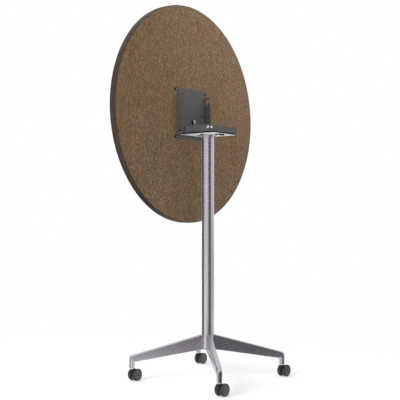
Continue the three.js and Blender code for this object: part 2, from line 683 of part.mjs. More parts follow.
// Legs: the side outline runs out along +X, tapers, and turns down over a round knee into the post
function legOutline() {
  const outer = LEG_REACH + POST_RADIUS;
  const inner = LEG_REACH - POST_RADIUS;
  const drop = LEG_TOP_AT_COLUMN - LEG_TOP_AT_END;
  const slope = Math.atan2(drop, outer - LEG_KNEE_RADIUS);
  const kneeX = outer - LEG_KNEE_RADIUS;
  const kneeZ = LEG_TOP_AT_END - LEG_KNEE_RADIUS;
  const underAtFillet = LEG_UNDER_AT_END + LEG_FILLET * Math.tan(slope / 2);
  const shape = new THREE.Shape();
  shape.moveTo(0, LEG_TOP_AT_COLUMN);
  shape.lineTo(0, COLUMN_BOTTOM);
  shape.lineTo(inner - LEG_FILLET, underAtFillet);
  shape.quadraticCurveTo(inner, LEG_UNDER_AT_END, inner, LEG_UNDER_AT_END - LEG_FILLET);
  shape.lineTo(outer, LEG_UNDER_AT_END - LEG_FILLET);
  shape.lineTo(outer, kneeZ);
  shape.absarc(kneeX, kneeZ, LEG_KNEE_RADIUS, 0, Math.PI / 2 - slope);
  return shape;
}

function buildLeg({ name, x, y }) {
  const bevel = LEG_EDGE_ROUND;
  const blade = new THREE.ExtrudeGeometry(legOutline(), {
    depth: LEG_WIDTH - 2 * bevel,
    bevelThickness: bevel,
    bevelSize: bevel,
    bevelOffset: -bevel,
    bevelSegments: 2,
    curveSegments: ARC_FACETS,
  });
  const turned = new THREE.Matrix4().makeBasis(AXIS_X, AXIS_Z, AXIS_Y.clone().negate());
  blade.applyMatrix4(turned).translate(0, LEG_WIDTH / 2 - bevel, 0);
  const plan = new THREE.Shape();
  plan.moveTo(0, -POST_RADIUS);
  plan.lineTo(LEG_REACH, -POST_RADIUS);
  plan.absarc(LEG_REACH, 0, POST_RADIUS, -Math.PI / 2, Math.PI / 2);
  plan.lineTo(0, POST_RADIUS);
  const nosed = solid(blade).intersect(extrudeZ(plan, POST_BOTTOM, LEG_TOP_AT_COLUMN + 1, NOSE_FACETS));
  const postTop = LEG_TOP_AT_END - LEG_KNEE_RADIUS;
  const post = rod(POST_RADIUS, POST_BOTTOM, postTop, 4 * NOSE_FACETS).translate([LEG_REACH, 0, 0]);
  const boreRadius = STEM_DIAMETER / 2 + SEAT_GAP;
  const boreTop = POST_BOTTOM + STEM_LENGTH + SEAT_GAP;
  const bore = rod(boreRadius, POST_BOTTOM - 1, boreTop, ROUND_FACETS).translate([LEG_REACH, 0, 0]);
  const saddle = rod(LEG_COLUMN_RADIUS, 0, LEG_TOP_AT_COLUMN + 1, TUBE_FACETS);
  piece(base, `leg_${name}`, cut(join(nosed, post), bore, saddle), "silver").rotation.z = Math.atan2(y, x);
}

// Casters: a stem held in the post, and a hood, axle and two wheels that swivel below it
function wheelProfile() {
  const outer = WHEEL_DIAMETER / 2;
  const tread = outer - WHEEL_TREAD_ROUND;
  const bore = AXLE_DIAMETER / 2 + RUNNING_GAP;
  const inner = WHEEL_SPACING / 2 + RUNNING_GAP;
  const outside = WHEEL_SPACING / 2 + WHEEL_WIDTH;
  return [
    [bore, inner],
    [tread, inner],
    [outer, inner + WHEEL_TREAD_ROUND],
    [outer, outside - WHEEL_TREAD_ROUND],
    [tread, outside],
    [tread - WHEEL_DISH, outside],
    [tread - 2 * WHEEL_DISH, outside - WHEEL_DISH],
    [bore, outside - WHEEL_DISH],
    [bore, inner],
  ];
}

function hoodBody() {
  const half = WHEEL_SPACING / 2 - RUNNING_GAP;
  const axleHeight = WHEEL_DIAMETER / 2;
  const cheek = rod(HOOD_DIAMETER / 2, -half, half, WHEEL_FACETS, AXIS_Y).translate([CASTER_TRAIL, 0, axleHeight]);
  const barrel = rod(half, axleHeight - half, HOOD_SEAT, ROUND_FACETS);
  const web = extrudeY(
    roundedRectangle(0, CASTER_TRAIL, axleHeight - half, HOOD_SEAT - HOOD_COLLAR, 1),
    -half,
    half,
  );
  const collar = rod(HOOD_COLLAR_DIAMETER / 2, HOOD_SEAT - HOOD_COLLAR, HOOD_SEAT, ROUND_FACETS);
  const stemBoreRadius = STEM_SPIGOT_DIAMETER / 2 + RUNNING_GAP;
  const stemBore = rod(stemBoreRadius, HOOD_SEAT - STEM_SPIGOT - SEAT_GAP, HOOD_SEAT + 1, ROUND_FACETS);
  const axleBoreRadius = AXLE_DIAMETER / 2 + SEAT_GAP;
  const axleBore = rod(axleBoreRadius, -half - 1, half + 1, SMALL_FACETS, AXIS_Y);
  return cut(join(cheek, barrel, web, collar), stemBore, axleBore.translate([CASTER_TRAIL, 0, axleHeight]));
}

function buildCaster({ name, x, y }) {
  const place = LEG_REACH * Math.SQRT1_2;
  const neckTop = POST_BOTTOM - SEAT_GAP;
  const neckLow = HOOD_SEAT + RUNNING_GAP;
  const stem = [
    [0, HOOD_SEAT - STEM_SPIGOT],
    [STEM_SPIGOT_DIAMETER / 2, HOOD_SEAT - STEM_SPIGOT],
    [STEM_SPIGOT_DIAMETER / 2, neckLow],
    [STEM_NECK_DIAMETER / 2, neckLow],
    [STEM_NECK_DIAMETER / 2, neckTop],
    [STEM_DIAMETER / 2, neckTop],
    [STEM_DIAMETER / 2, POST_BOTTOM + STEM_LENGTH - 1],
    [STEM_DIAMETER / 2 - 1, POST_BOTTOM + STEM_LENGTH],
    [0, POST_BOTTOM + STEM_LENGTH],
  ];
  const stemMesh = piece(base, `caster_stem_${name}`, revolve(stem, ROUND_FACETS), "zinc");
  stemMesh.position.set(x * place, y * place, 0);
  const swivel = new THREE.Group();
  swivel.position.set(x * place, y * place, 0);
  swivel.rotation.z = CASTER_TURN;
  table.add(swivel);
  piece(swivel, `caster_hood_${name}`, hoodBody(), "blackPlastic");
  const axlePlace = [CASTER_TRAIL, 0, WHEEL_DIAMETER / 2];
  const capSeat = WHEEL_SPACING / 2 + WHEEL_WIDTH - WHEEL_DISH + SEAT_GAP;
  const [pin, cap] = [AXLE_DIAMETER / 2, AXLE_CAP_DIAMETER / 2];
  const axle = [
    [0, -capSeat - AXLE_CAP],
    [cap, -capSeat - AXLE_CAP],
    [cap, -capSeat],
    [pin, -capSeat],
    [pin, capSeat],
    [cap, capSeat],
    [cap, capSeat + AXLE_CAP],
    [0, capSeat + AXLE_CAP],
  ];
  piece(swivel, `caster_axle_${name}`, revolve(axle, SMALL_FACETS, AXIS_Y), "blackSteel").position.set(...axlePlace);
  const wheels = { front: AXIS_Y.clone().negate(), rear: AXIS_Y };
  for (const [side, axis] of Object.entries(wheels)) {
    const wheel = revolve(wheelProfile(), WHEEL_FACETS, axis);
    piece(swivel, `caster_wheel_${name}_${side}`, wheel, "tread").position.set(...axlePlace);
  }
}

buildTabletop();
buildBracket();
buildScrews();
buildHinge();
buildTray();
buildSupport();
buildLatch();
buildColumn();
CORNERS.forEach(buildLeg);
CORNERS.forEach(buildCaster);

export default table;
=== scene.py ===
"""Dress the standing meeting table: smooth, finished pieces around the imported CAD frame.

The frame is in metres, +Z up, with the floor at z = 0 and the column on the Z axis. The round top
is stored flipped up, with its underside facing -Y. Sizes below are in millimetres unless a name or
a comment says otherwise.
"""

import logging
import math
from dataclasses import dataclass
from enum import Enum

import bmesh
import bpy
from mathutils import Matrix, Vector


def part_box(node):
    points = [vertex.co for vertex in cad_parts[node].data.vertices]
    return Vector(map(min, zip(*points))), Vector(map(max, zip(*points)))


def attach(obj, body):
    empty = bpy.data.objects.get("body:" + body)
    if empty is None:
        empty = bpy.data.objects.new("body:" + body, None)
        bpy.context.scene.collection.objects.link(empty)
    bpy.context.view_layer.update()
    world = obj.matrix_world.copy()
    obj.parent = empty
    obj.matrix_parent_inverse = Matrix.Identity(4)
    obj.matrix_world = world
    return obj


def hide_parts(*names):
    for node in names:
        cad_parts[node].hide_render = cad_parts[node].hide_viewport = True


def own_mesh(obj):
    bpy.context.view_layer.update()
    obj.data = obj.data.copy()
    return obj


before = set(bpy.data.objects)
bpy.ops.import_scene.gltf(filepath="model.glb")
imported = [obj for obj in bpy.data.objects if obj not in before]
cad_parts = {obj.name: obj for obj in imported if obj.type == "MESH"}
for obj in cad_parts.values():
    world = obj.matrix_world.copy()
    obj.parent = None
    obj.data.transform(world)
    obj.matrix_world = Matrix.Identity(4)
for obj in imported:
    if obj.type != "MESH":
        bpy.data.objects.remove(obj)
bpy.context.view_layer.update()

logging.basicConfig(level=logging.INFO, format="%(name)s: %(message)s")
log = logging.getLogger("meeting_table")

MM = 0.001
QUARTER = math.pi / 2
SHARP = math.radians(50)  # edges that turn more than this stay crisp
LEVEL = math.radians(0.5)  # CAD facets that turn less than this are one face
MERGE = 1e-7  # metres between points that count as one
CAD_MERGE = 2e-6  # the same, for a CAD node's loose triangles
POLE = 1e-6  # a smaller radius is a point on the axis
CORNER_SHARE = 0.45  # the most of a side that one rounded corner takes
CORNER_STEPS = 3  # segments in a turned piece's rounded corner
EASE_STEPS = 2  # segments in a sheet's rounded edge
FASTENER_FACETS = 40  # round a screw, rivet, bolt, post or axle
SHAFT_FACETS = 48  # round a pin, rod, clip or stem
COLLAR_FACETS = 56  # round the bumper and the bushes
HEXAGON = 6
OVERSHOOT = 1.0  # how far a cutter stands out of the face that it sinks into

# Shares of a screw head's radius and of its face's fall, from the middle to the rim.
PAN_HEAD = ((0.45, 0.04), (0.8, 0.36), (0.97, 1.0))
# Shares of a rivet head's radius and height, from the rim to the crown.
RIVET_HEAD = ((0.85, 0.7), (0.4, 1.0))

WHITE = (1.0, 1.0, 1.0, 1.0)
MIX_A, MIX_B, MIX_RESULT = 6, 7, 2  # the Mix node's colour sockets, which share their names
COMPARE_A, COMPARE_B = 2, 3  # the Compare node's whole-number sockets
GROWTH_SCALE = 1.6  # how much finer the layer that bends a growth line is

Profile = list[tuple[float, float]]
Place = tuple[float, float, float]
Colour = tuple[float, float, float, float]
Tree = bpy.types.NodeTree
Socket = bpy.types.NodeSocket
Piece = bpy.types.Object
Shape = bmesh.types.BMesh
Ring = list[bmesh.types.BMVert]


class Slot(Enum):
    """The record's material slots."""

    SILVER = "silver"
    CHARCOAL = "charcoal"
    ZINC = "zinc"
    BLACK_STEEL = "black_steel"
    BLACK_PLASTIC = "black_plastic"
    TREAD = "tread"
    NYLON = "nylon"
    UNDERSIDE = "underside"
    SURFACE = "surface"
    BOARD = "board"
    BAND = "band"


class Axis(Enum):
    """The way a turned piece points."""

    RIGHT = (1.0, 0.0, 0.0)
    LEFT = (-1.0, 0.0, 0.0)
    BACK = (0.0, 1.0, 0.0)
    FRONT = (0.0, -1.0, 0.0)
    UP = (0.0, 0.0, 1.0)

    def turn(self) -> Matrix:
        """Return the rotation that takes +Z to this direction."""
        up = Vector((0.0, 0.0, 1.0))
        return up.rotation_difference(Vector(self.value)).to_matrix().to_4x4()


class Station(Enum):
    """A place on the table that the CAD nodes are named for."""

    @property
    def label(self) -> str:
        """Return the name that the CAD nodes use."""
        return self.name.lower()


class Corner(Station):
    """The four legs and casters, by the signs of their x and y."""

    FRONT_LEFT = (-1, -1)
    FRONT_RIGHT = (1, -1)
    REAR_LEFT = (-1, 1)
    REAR_RIGHT = (1, 1)


class Wheel(Station):
    """A caster's two wheels, by the way they face."""

    FRONT = Axis.FRONT
    REAR = Axis.BACK


class Side(Station):
    """The two ends of the hinge."""

    LEFT = -1
    RIGHT = 1

    @property
    def outward(self) -> Axis:
        """Return the direction away from the middle."""
        return Axis.RIGHT if self is Side.RIGHT else Axis.LEFT


# ------------------------------------------------------------------------------------------ nodes


def linear(code: str) -> Colour:
    """Turn an sRGB hex colour into linear light.

    Args:
        code: Six hex digits, with or without a leading #.

    Returns:
        Linear red, green, blue and an alpha of 1.
    """
    digits = code.lstrip("#")
    shares = [int(digits[i : i + 2], 16) / 255 for i in (0, 2, 4)]
    lit = [s / 12.92 if s <= 0.04045 else ((s + 0.055) / 1.055) ** 2.4 for s in shares]
    return (lit[0], lit[1], lit[2], 1.0)


def cleared(owner: bpy.types.Material | bpy.types.World) -> Tree:
    """Return the empty node tree of a new material or world.

    Args:
        owner: The material or world.

    Returns:
        Its tree, without nodes.
    """
    owner.use_nodes = True
    owner.node_tree.nodes.clear()
    return owner.node_tree


def add_node(
    tree: Tree, kind: str, inputs: dict | None = None, **settings: object
) -> bpy.types.Node:
    """Add one node with its settings, and set or link its inputs.

    Args:
        tree: The node tree that takes the node.
        kind: The node's type name.
        inputs: Values or output sockets, by input name or number.
        settings: Properties of the node itself.

    Returns:
        The new node.
    """
    made = tree.nodes.new(kind)
    for name, value in settings.items():
        setattr(made, name, value)
    for key, value in (inputs or {}).items():
        if isinstance(value, bpy.types.NodeSocket):
            tree.links.new(value, made.inputs[key])
        else:
            made.inputs[key].default_value = value
    return made


# --------------------------------------------------------------------------------------- finishes


@dataclass(frozen=True)
class Pattern:
    """A soft random pattern on the piece's own Object coordinates.

    Its patch size is in millimetres, detail adds finer layers, and stretch makes a patch longer
    along x, y and z. With a bend it becomes growth lines across z, bent by that much.
    """

    size: float
    detail: float = 2.0
    stretch: Place = (1.0, 1.0, 1.0)
    bend: float = 0.0

    def grow(self, tree: Tree) -> Socket:
        """Add the pattern to a material.

        Args:
            tree: The material's nodes.

        Returns:
            The pattern's value, from 0, dark, to 1, light.
        """
        where = add_node(tree, "ShaderNodeTexCoord").outputs["Object"]
        squeeze = tuple(1 / s for s in self.stretch)
        mapped = add_node(tree, "ShaderNodeMapping", {"Vector": where, "Scale": squeeze})
        shape = {
            "Vector": mapped.outputs[0],
            "Scale": 1 / (self.size * MM),
            "Detail": self.detail,
        }
        if not self.bend:
            return add_node(tree, "ShaderNodeTexNoise", shape).outputs[0]
        shape |= {"Distortion": self.bend, "Detail Scale": GROWTH_SCALE}
        return add_node(tree, "ShaderNodeTexWave", shape, bands_direction="Z").outputs["Fac"]


@dataclass(frozen=True)
class Spread:
    """A pattern's middle values stretched over a range, from its dark end to its light end."""

    pattern: Pattern
    dark: float
    light: float
    inner: float = 0.3  # the pattern value that counts as dark; the light end mirrors it

    def span(self, value: Socket, base: float = 0.0) -> dict[str, object]:
        """Return the inputs that stretch the grown pattern, with a base added to both ends."""
        ends = {"To Min": base + self.dark, "To Max": base + self.light}
        return {"Value": value, "From Min": self.inner, "From Max": 1 - self.inner, **ends}


@dataclass(frozen=True)
class Relief:
    """Fine relief: its pattern, its depth in millimetres and the share of it that shows."""

    pattern: Pattern
    depth: float
    strength: float


@dataclass(frozen=True)
class Finish:
    """A real material and how its surface was made.

    It has a colour, tints over it, changes of gloss, and relief.
    """

    name: str
    colour: str
    roughness: float
    tints: tuple[tuple[str, Spread], ...]
    gloss: Spread
    relief: Relief
    metallic: float = 0.0
    specular: float = 0.5

    def material(self) -> bpy.types.Material:
        """Return this finish's material, made once.

        Returns:
            The material, with its pattern nodes.
        """
        known = bpy.data.materials.get(self.name)
        if known:
            return known
        made = bpy.data.materials.new(self.name)
        made.diffuse_color = linear(self.colour)
        tree = cleared(made)
        used = [spread.pattern for _, spread in self.tints]
        used += [self.gloss.pattern, self.relief.pattern]
        grown = {pattern: pattern.grow(tree) for pattern in dict.fromkeys(used)}
        colour: Colour | Socket = linear(self.colour)
        for code, spread in self.tints:
            share = add_node(tree, "ShaderNodeMapRange", spread.span(grown[spread.pattern]))
            parts = {0: share.outputs[0], MIX_A: colour, MIX_B: linear(code)}
            mixed = add_node(tree, "ShaderNodeMix", parts, data_type="RGBA")
            colour = mixed.outputs[MIX_RESULT]
        gloss = self.gloss.span(grown[self.gloss.pattern], self.roughness)
        rough = add_node(tree, "ShaderNodeMapRange", gloss)
        depth = {
            "Height": grown[self.relief.pattern],
            "Distance": self.relief.depth * MM,
            "Strength": self.relief.strength,
        }
        bump = add_node(tree, "ShaderNodeBump", depth)
        surface = {
            "Base Color": colour,
            "Roughness": rough.outputs[0],
            "Metallic": self.metallic,
            "Specular IOR Level": self.specular,
            "Normal": bump.outputs[0],
        }
        shader = add_node(tree, "ShaderNodeBsdfPrincipled", surface)
        add_node(tree, "ShaderNodeOutputMaterial", {"Surface": shader.outputs[0]})
        return made


# Silver metallic powder coat baked on steel: satin, with bright flake, and an orange peel that
# ripples highlights. Real flake is near 0.05 mm; it is drawn this coarse to show.
FLAKE = Pattern(1.6, 1.0)
PEEL = Pattern(3.0, 0.0)
SILVER = Finish(
    "silver_metallic_powder_coat",
    "#B8B4BC",
    roughness=0.27,
    tints=(("#C7C3CB", Spread(FLAKE, 0.3, 0.7)),),
    gloss=Spread(FLAKE, 0.01, -0.01),
    relief=Relief(PEEL, 0.02, 0.02),
    metallic=0.9,
)

# The same coat on the laser-cut plate, painted pale as a stand-in for the white floor's light on
# its underside; no metal shows in it.
PAINTED_LIGHT_PLATE_SILVER = Finish(
    "pale_silver_powder_coat",
    "#EFEEF1",
    roughness=0.45,
    tints=(("#F7F6F8", Spread(FLAKE, 0.0, 1.0)),),
    gloss=Spread(FLAKE, 0.05, -0.05),
    relief=Relief(PEEL, 0.02, 0.12),
)

# Charcoal texture powder coat on bent sheet steel: matt, with a fine sandy grain that scatters
# light, and soft lighter patches. Real grain is near 0.4 mm; it is drawn this coarse to show.
GRIT = Pattern(1.2)
PATCHES = Pattern(26.0, 3.0)
CHARCOAL = Finish(
    "charcoal_texture_powder_coat",
    "#4E4E4D",
    roughness=0.6,
    tints=(("#565655", Spread(PATCHES, 0.0, 0.7)), ("#3B3B3A", Spread(GRIT, 0.0, 0.35))),
    gloss=Spread(GRIT, -0.08, 0.1),
    relief=Relief(GRIT, 0.12, 0.5),
    specular=0.3,
)

# Clear passivated zinc on turned steel: bright and faintly clouded, with fine turning marks.
CLOUDING = Pattern(5.0, 3.0)
TURNING = Pattern(0.8, 1.0)
ZINC = Finish(
    "bright_zinc_plate",
    "#F0F1F2",
    roughness=0.38,
    tints=(("#C6C8CB", Spread(CLOUDING, 0.0, 1.0)),),
    gloss=Spread(CLOUDING, -0.06, 0.1),
    relief=Relief(TURNING, 0.02, 0.2),
    metallic=0.45,
)

# Black oxide on forged steel: dark and oily, greyer and glossier where a driver has rubbed it.
RUBBING = Pattern(3.0, 3.0)
RUBBED = Spread(RUBBING, 0.0, 0.8, 0.42)
POLISHED = Spread(RUBBING, 0.08, -0.08)
FORGED = Relief(RUBBING, 0.02, 0.2)
BLACK_STEEL = Finish(
    "black_oxide_steel",
    "#080808",
    roughness=0.5,
    tints=(("#141415", RUBBED),),
    gloss=POLISHED,
    relief=FORGED,
    metallic=0.1,
    specular=0.25,
)

# Grey phosphate on axle steel: dull, with paler rubbed patches.
PHOSPHATE = Finish(
    "grey_phosphate_steel",
    "#404042",
    roughness=0.55,
    tints=(("#525254", RUBBED),),
    gloss=POLISHED,
    relief=FORGED,
    metallic=0.1,
    specular=0.3,
)

# Injection-moulded plastics with a spark-eroded texture: a soft sheen, a fine even grain, and thin
# dust in patches.
DUST = Pattern(11.0, 4.0)
DUSTY = Spread(DUST, 0.0, 0.3, 0.4)
DULLED = Spread(DUST, -0.05, 0.1)
ERODED = Relief(Pattern(0.9, 1.0), 0.05, 0.4)

# Black nylon: near black, and greyer where dust lies.
HOOD_PLASTIC = Finish(
    "moulded_black_nylon",
    "#151516",
    roughness=0.5,
    tints=(("#2E2E2F", DUSTY),),
    gloss=DULLED,
    relief=ERODED,
    specular=0.3,
)

# Polyurethane tyre: dark grey and duller than the nylon.
TYRE = Finish(
    "moulded_polyurethane_tyre",
    "#353536",
    roughness=0.62,
    tints=(("#424243", DUSTY),),
    gloss=DULLED,
    relief=ERODED,
    specular=0.3,
)

# Grey nylon hub: lighter than its tyre, so that the dished face shows.
HUB = Finish(
    "moulded_grey_nylon_hub",
    "#454546",
    roughness=0.5,
    tints=(("#666667", DUSTY),),
    gloss=DULLED,
    relief=ERODED,
)

# Acetal bush: creamy and a little waxy.
ACETAL = Finish(
    "moulded_acetal",
    "#D9D6CD",
    roughness=0.4,
    tints=(("#C4C0B5", DUSTY),),
    gloss=DULLED,
    relief=ERODED,
)

# Phenolic backing sheet: matt brown paper under resin, with fibres that run one way, fine flecks,
# and broad soft patches: some darker, some warmer and some olive. Real paper fibre is finer; it is
# drawn this coarse to show.
FIBRE = Pattern(3.8, 3.0, (1.0, 1.0, 2.6))
FLECK = Pattern(3.8, 3.0)
DARK_PATCH = Pattern(34.0, 3.0, (1.0, 1.0, 6.0))
WARM_PATCH = Pattern(62.0, 2.0, (1.0, 1.0, 2.0))
OLIVE_PATCH = Pattern(48.0, 2.0, (1.0, 1.0, 2.0))
UNDERSIDE = Finish(
    "phenolic_backing_laminate",
    "#6E5945",
    roughness=0.6,
    tints=(
        ("#9E8467", Spread(FIBRE, 0.0, 0.78, 0.38)),
        ("#3C2D1B", Spread(FLECK, 0.77, 0.0, 0.38)),
        ("#4A341F", Spread(DARK_PATCH, 0.26, 0.0)),
        ("#7A5242", Spread(WARM_PATCH, 0.0, 0.24)),
        ("#6C6347", Spread(OLIVE_PATCH, 0.24, 0.0)),
    ),
    gloss=Spread(FLECK, 0.08, -0.06),
    relief=Relief(FIBRE, 0.08, 0.3),
    specular=0.12,
)

# High-pressure laminate with a printed walnut grain: satin, with long growth lines and short dark
# pores in them.
GROWTH = Pattern(48.0, 3.0, (14.0, 1.0, 1.0), bend=5.0)
PORES = Pattern(1.6, 2.0, (18.0, 1.0, 1.0))
SURFACE = Finish(
    "walnut_grain_laminate",
    "#765C45",
    roughness=0.36,
    tints=(
        ("#94765A", Spread(GROWTH, 0.0, 0.8, 0.1)),
        ("#54402F", Spread(PORES, 0.75, 0.0, 0.36)),
    ),
    gloss=Spread(PORES, 0.12, 0.0),
    relief=Relief(PORES, 0.06, 0.35),
)

# Pressed wood chips: a coarse, rough patchwork of straw and brown.
CHIPS = Pattern(4.0, 4.0, (2.0, 1.0, 1.0))
BOARD = Finish(
    "pressed_particle_board",
    "#B59467",
    roughness=0.9,
    tints=(("#8F7048", Spread(CHIPS, 0.0, 1.0, 0.4)),),
    gloss=Spread(CHIPS, -0.05, 0.05),
    relief=Relief(CHIPS, 0.3, 0.6),
)

# Extruded PVC edge band, dark taupe: a soft sheen with faint streaks.
STREAKS = Pattern(9.0, 4.0)
EDGING = Finish(
    "extruded_pvc_edge_band",
    "#2F2722",
    roughness=0.5,
    tints=(("#3A312B", Spread(STREAKS, 0.0, 0.8)),),
    gloss=Spread(STREAKS, -0.05, 0.08),
    relief=Relief(Pattern(1.0, 1.0), 0.03, 0.2),
    specular=0.3,
)


# ----------------------------------------------------------------------------------------- meshes


def bowed(start: Vector, corner: Vector, end: Vector, share: float) -> Vector:
    """Return the point a share of the way along the curve that rounds a corner."""
    rest = 1 - share
    return start * rest**2 + corner * (2 * share * rest) + end * share**2


def quarter_turn(steps: int) -> list[float]:
    """Return the angles of a quarter turn in equal steps."""
    return [i / steps * QUARTER for i in range(steps + 1)]


def lip(outer: float, face: float, ease: float, steps: int) -> Profile:
    """Return the rounded edge from a lower face at a height out to a side at a radius."""
    centre = outer - ease
    return [
        (centre + ease * math.sin(a), face + ease - ease * math.cos(a)) for a in quarter_turn(steps)
    ]


def rivet_head(radius: float, tall: float) -> Profile:
    """Return a domed head's profile, from inside its rim to the axis."""
    return [(radius * wide, tall * high) for wide, high in RIVET_HEAD] + [(0, tall)]


def softened(profile: Profile, radius: float) -> Profile:
    """Round the corners of a profile.

    Args:
        profile: Points of radius and height. The same first and last point makes it a closed loop.
        radius: How far along each side a corner's rounding starts.

    Returns:
        The profile with rounded corners; ends that lie on the axis stay.
    """
    closed = profile[0] == profile[-1]
    points = [Vector(p) for p in (profile[:-1] if closed else profile)]
    made: Profile = []
    for i, corner in enumerate(points):
        if not closed and i in (0, len(points) - 1):
            made.append((corner.x, corner.y))
            continue
        before, after = points[i - 1] - corner, points[(i + 1) % len(points)] - corner
        reach = min(radius, before.length * CORNER_SHARE, after.length * CORNER_SHARE)
        start = corner + before.normalized() * reach
        end = corner + after.normalized() * reach
        for step in range(CORNER_STEPS + 1):
            point = bowed(start, corner, end, step / CORNER_STEPS)
            made.append((point.x, point.y))
    if closed:
        made.append(made[0])
    return made


def skin(bm: Shape, rings: list[Ring]) -> None:
    """Join rings of points, each to the next, with faces.

    Args:
        bm: The mesh that holds the points.
        rings: The rings in order; a ring of one point is a pole.
    """
    for low, high in zip(rings, rings[1:]):
        count = max(len(low), len(high))
        for i in range(count):
            j = (i + 1) % count
            corners = [low[i % len(low)], low[j % len(low)]]
            corners += [high[j % len(high)], high[i % len(high)]]
            unlike = list(dict.fromkeys(corners))
            if len(unlike) > 2:
                bm.faces.new(unlike)


def revolve(profile: Profile, facets: int) -> Shape:
    """Turn a profile about Z.

    Args:
        profile: Points of radius and height in millimetres.
        facets: Facets round the axis.

    Returns:
        The turned mesh, in metres.
    """
    bm = bmesh.new()
    closed = profile[0] == profile[-1]
    angles = [2 * math.pi * i / facets for i in range(facets)]
    rings: list[Ring] = []
    for radius, height in profile[:-1] if closed else profile:
        reach, z = radius * MM, height * MM
        if radius < POLE:
            rings.append([bm.verts.new((0, 0, z))])
            continue
        rings.append([bm.verts.new((reach * math.cos(a), reach * math.sin(a), z)) for a in angles])
    if closed:
        rings.append(rings[0])
    skin(bm, rings)
    return bm


def prism(sides: int, radius: float, low: float, high: float) -> Shape:
    """Make an upright prism with a regular base; its radius is from centre to corner."""
    return revolve([(0, low), (radius, low), (radius, high), (0, high)], sides)


def bounds_of(node: str) -> tuple[Vector, Vector]:
    """Return a CAD node's lowest and highest corners in millimetres."""
    low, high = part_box(node)
    return low / MM, high / MM


def middle_of(node: str) -> Vector:
    """Return the middle of a CAD node's box in millimetres."""
    low, high = bounds_of(node)
    return (low + high) / 2


def half_width(node: str) -> float:
    """Return half of a CAD node's size along x in millimetres."""
    low, high = bounds_of(node)
    return (high.x - low.x) / 2


def reach_of(node: str) -> tuple[float, float, Vector]:
    """Return how far a CAD node of the hinge lies from the middle, and its axis.

    Args:
        node: The CAD node.

    Returns:
        Its inner distance, its outer distance and the place on its axis at x = 0.
    """
    low, high = bounds_of(node)
    inner, outer = sorted((abs(low.x), abs(high.x)))
    spot = middle_of(node)
    return inner, outer, Vector((0, spot.y, spot.z))


def put(bm: Shape, place: Vector, axis: Axis = Axis.UP) -> Shape:
    """Turn a mesh from +Z to an axis and move it to its place.

    Args:
        bm: The mesh, about the origin.
        place: Its place in millimetres.
        axis: Where its +Z goes.

    Returns:
        The same mesh.
    """
    matrix = Matrix.Translation(place * MM) @ axis.turn()
    bmesh.ops.transform(bm, matrix=matrix, verts=bm.verts)
    return bm


def turned(
    profile: Profile, soft: float, facets: int, place: Vector, axis: Axis = Axis.UP
) -> Shape:
    """Turn a profile with softened corners and put it in its place."""
    return put(revolve(softened(profile, soft), facets), place, axis)


def linked(name: str, data: bpy.types.ID) -> Piece:
    """Make an object of a mesh, a lamp or a camera and add it to the scene.

    Args:
        name: The object's name.
        data: What it shows.

    Returns:
        The new object, at the origin.
    """
    obj = bpy.data.objects.new(name, data)
    bpy.context.scene.collection.objects.link(obj)
    return obj


def mesh_of(name: str, bm: Shape) -> bpy.types.Mesh:
    """Write a mesh under construction to a new mesh.

    Args:
        name: The new mesh's name.
        bm: The mesh under construction; it is freed.

    Returns:
        The new mesh.
    """
    mesh = bpy.data.meshes.new(name)
    bm.to_mesh(mesh)
    bm.free()
    return mesh


def as_object(name: str, bm: Shape, *finishes: Finish) -> Piece:
    """Close a mesh, shade it and make it an object.

    Args:
        name: The piece's name.
        bm: The mesh, in place; it is freed.
        finishes: The material of each slot.

    Returns:
        The new object, at the origin.
    """
    bmesh.ops.remove_doubles(bm, verts=bm.verts, dist=MERGE)
    bmesh.ops.dissolve_degenerate(bm, edges=bm.edges, dist=MERGE)
    bmesh.ops.recalc_face_normals(bm, faces=bm.faces)
    for face in bm.faces:
        face.smooth = True
    for edge in bm.edges:
        edge.smooth = edge.calc_face_angle(0.0) < SHARP
    obj = linked(name, mesh_of(name, bm))
    for finish in finishes:
        obj.data.materials.append(finish.material())
    return obj


def settle(obj: Piece) -> Piece:
    """Apply an object's modifiers, so that a plain mesh is left.

    Args:
        obj: The object with its modifiers.

    Returns:
        The same object.
    """
    bpy.context.view_layer.update()
    graph = bpy.context.evaluated_depsgraph_get()
    mesh = bpy.data.meshes.new_from_object(
        obj.evaluated_get(graph), preserve_all_data_layers=True, depsgraph=graph
    )
    old = obj.data
    obj.modifiers.clear()
    obj.data = mesh
    bpy.data.meshes.remove(old)
    mesh.name = obj.name
    return obj


def flattened(obj: Piece) -> Piece:
    """Weight an object's normals by area, so that flat faces between rounded edges shade flat.

    Args:
        obj: The object.

    Returns:
        The same object.
    """
    weighted = obj.modifiers.new("weighted", "WEIGHTED_NORMAL")
    weighted.keep_sharp = True
    return settle(obj)


def sunk(obj: Piece, cutter: Piece) -> Piece:
    """Cut one object out of another and remove the cutter.

    Args:
        obj: The object that is cut.
        cutter: The closed shape that is taken away.

    Returns:
        The cut object.
    """
    taken = obj.modifiers.new("sunk", "BOOLEAN")
    taken.operation = "DIFFERENCE"
    taken.material_mode = "TRANSFER"
    taken.solver = "EXACT"
    taken.object = cutter
    settle(obj)
    bpy.data.objects.remove(cutter)
    return obj


def eased_copy(node: str, finish: Finish, ease: float) -> Piece:
    """Copy a CAD node and round its edges.

    Args:
        node: The CAD node.
        finish: The copy's finish.
        ease: Width of each rounded edge in millimetres.

    Returns:
        The new object.
    """
    bm = bmesh.new()
    bm.from_mesh(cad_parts[node].data)
    bmesh.ops.remove_doubles(bm, verts=bm.verts, dist=CAD_MERGE)
    bmesh.ops.dissolve_limit(bm, angle_limit=LEVEL, verts=bm.verts, edges=bm.edges)
    bmesh.ops.bevel(
        bm,
        geom=[e for e in bm.edges if e.is_manifold and e.calc_face_angle(0.0) > SHARP],
        offset=ease * MM,
        offset_type="OFFSET",
        segments=EASE_STEPS,
        profile=0.5,
        affect="EDGES",
        clamp_overlap=True,
    )
    return flattened(as_object(f"{node}_dressed", bm, finish))


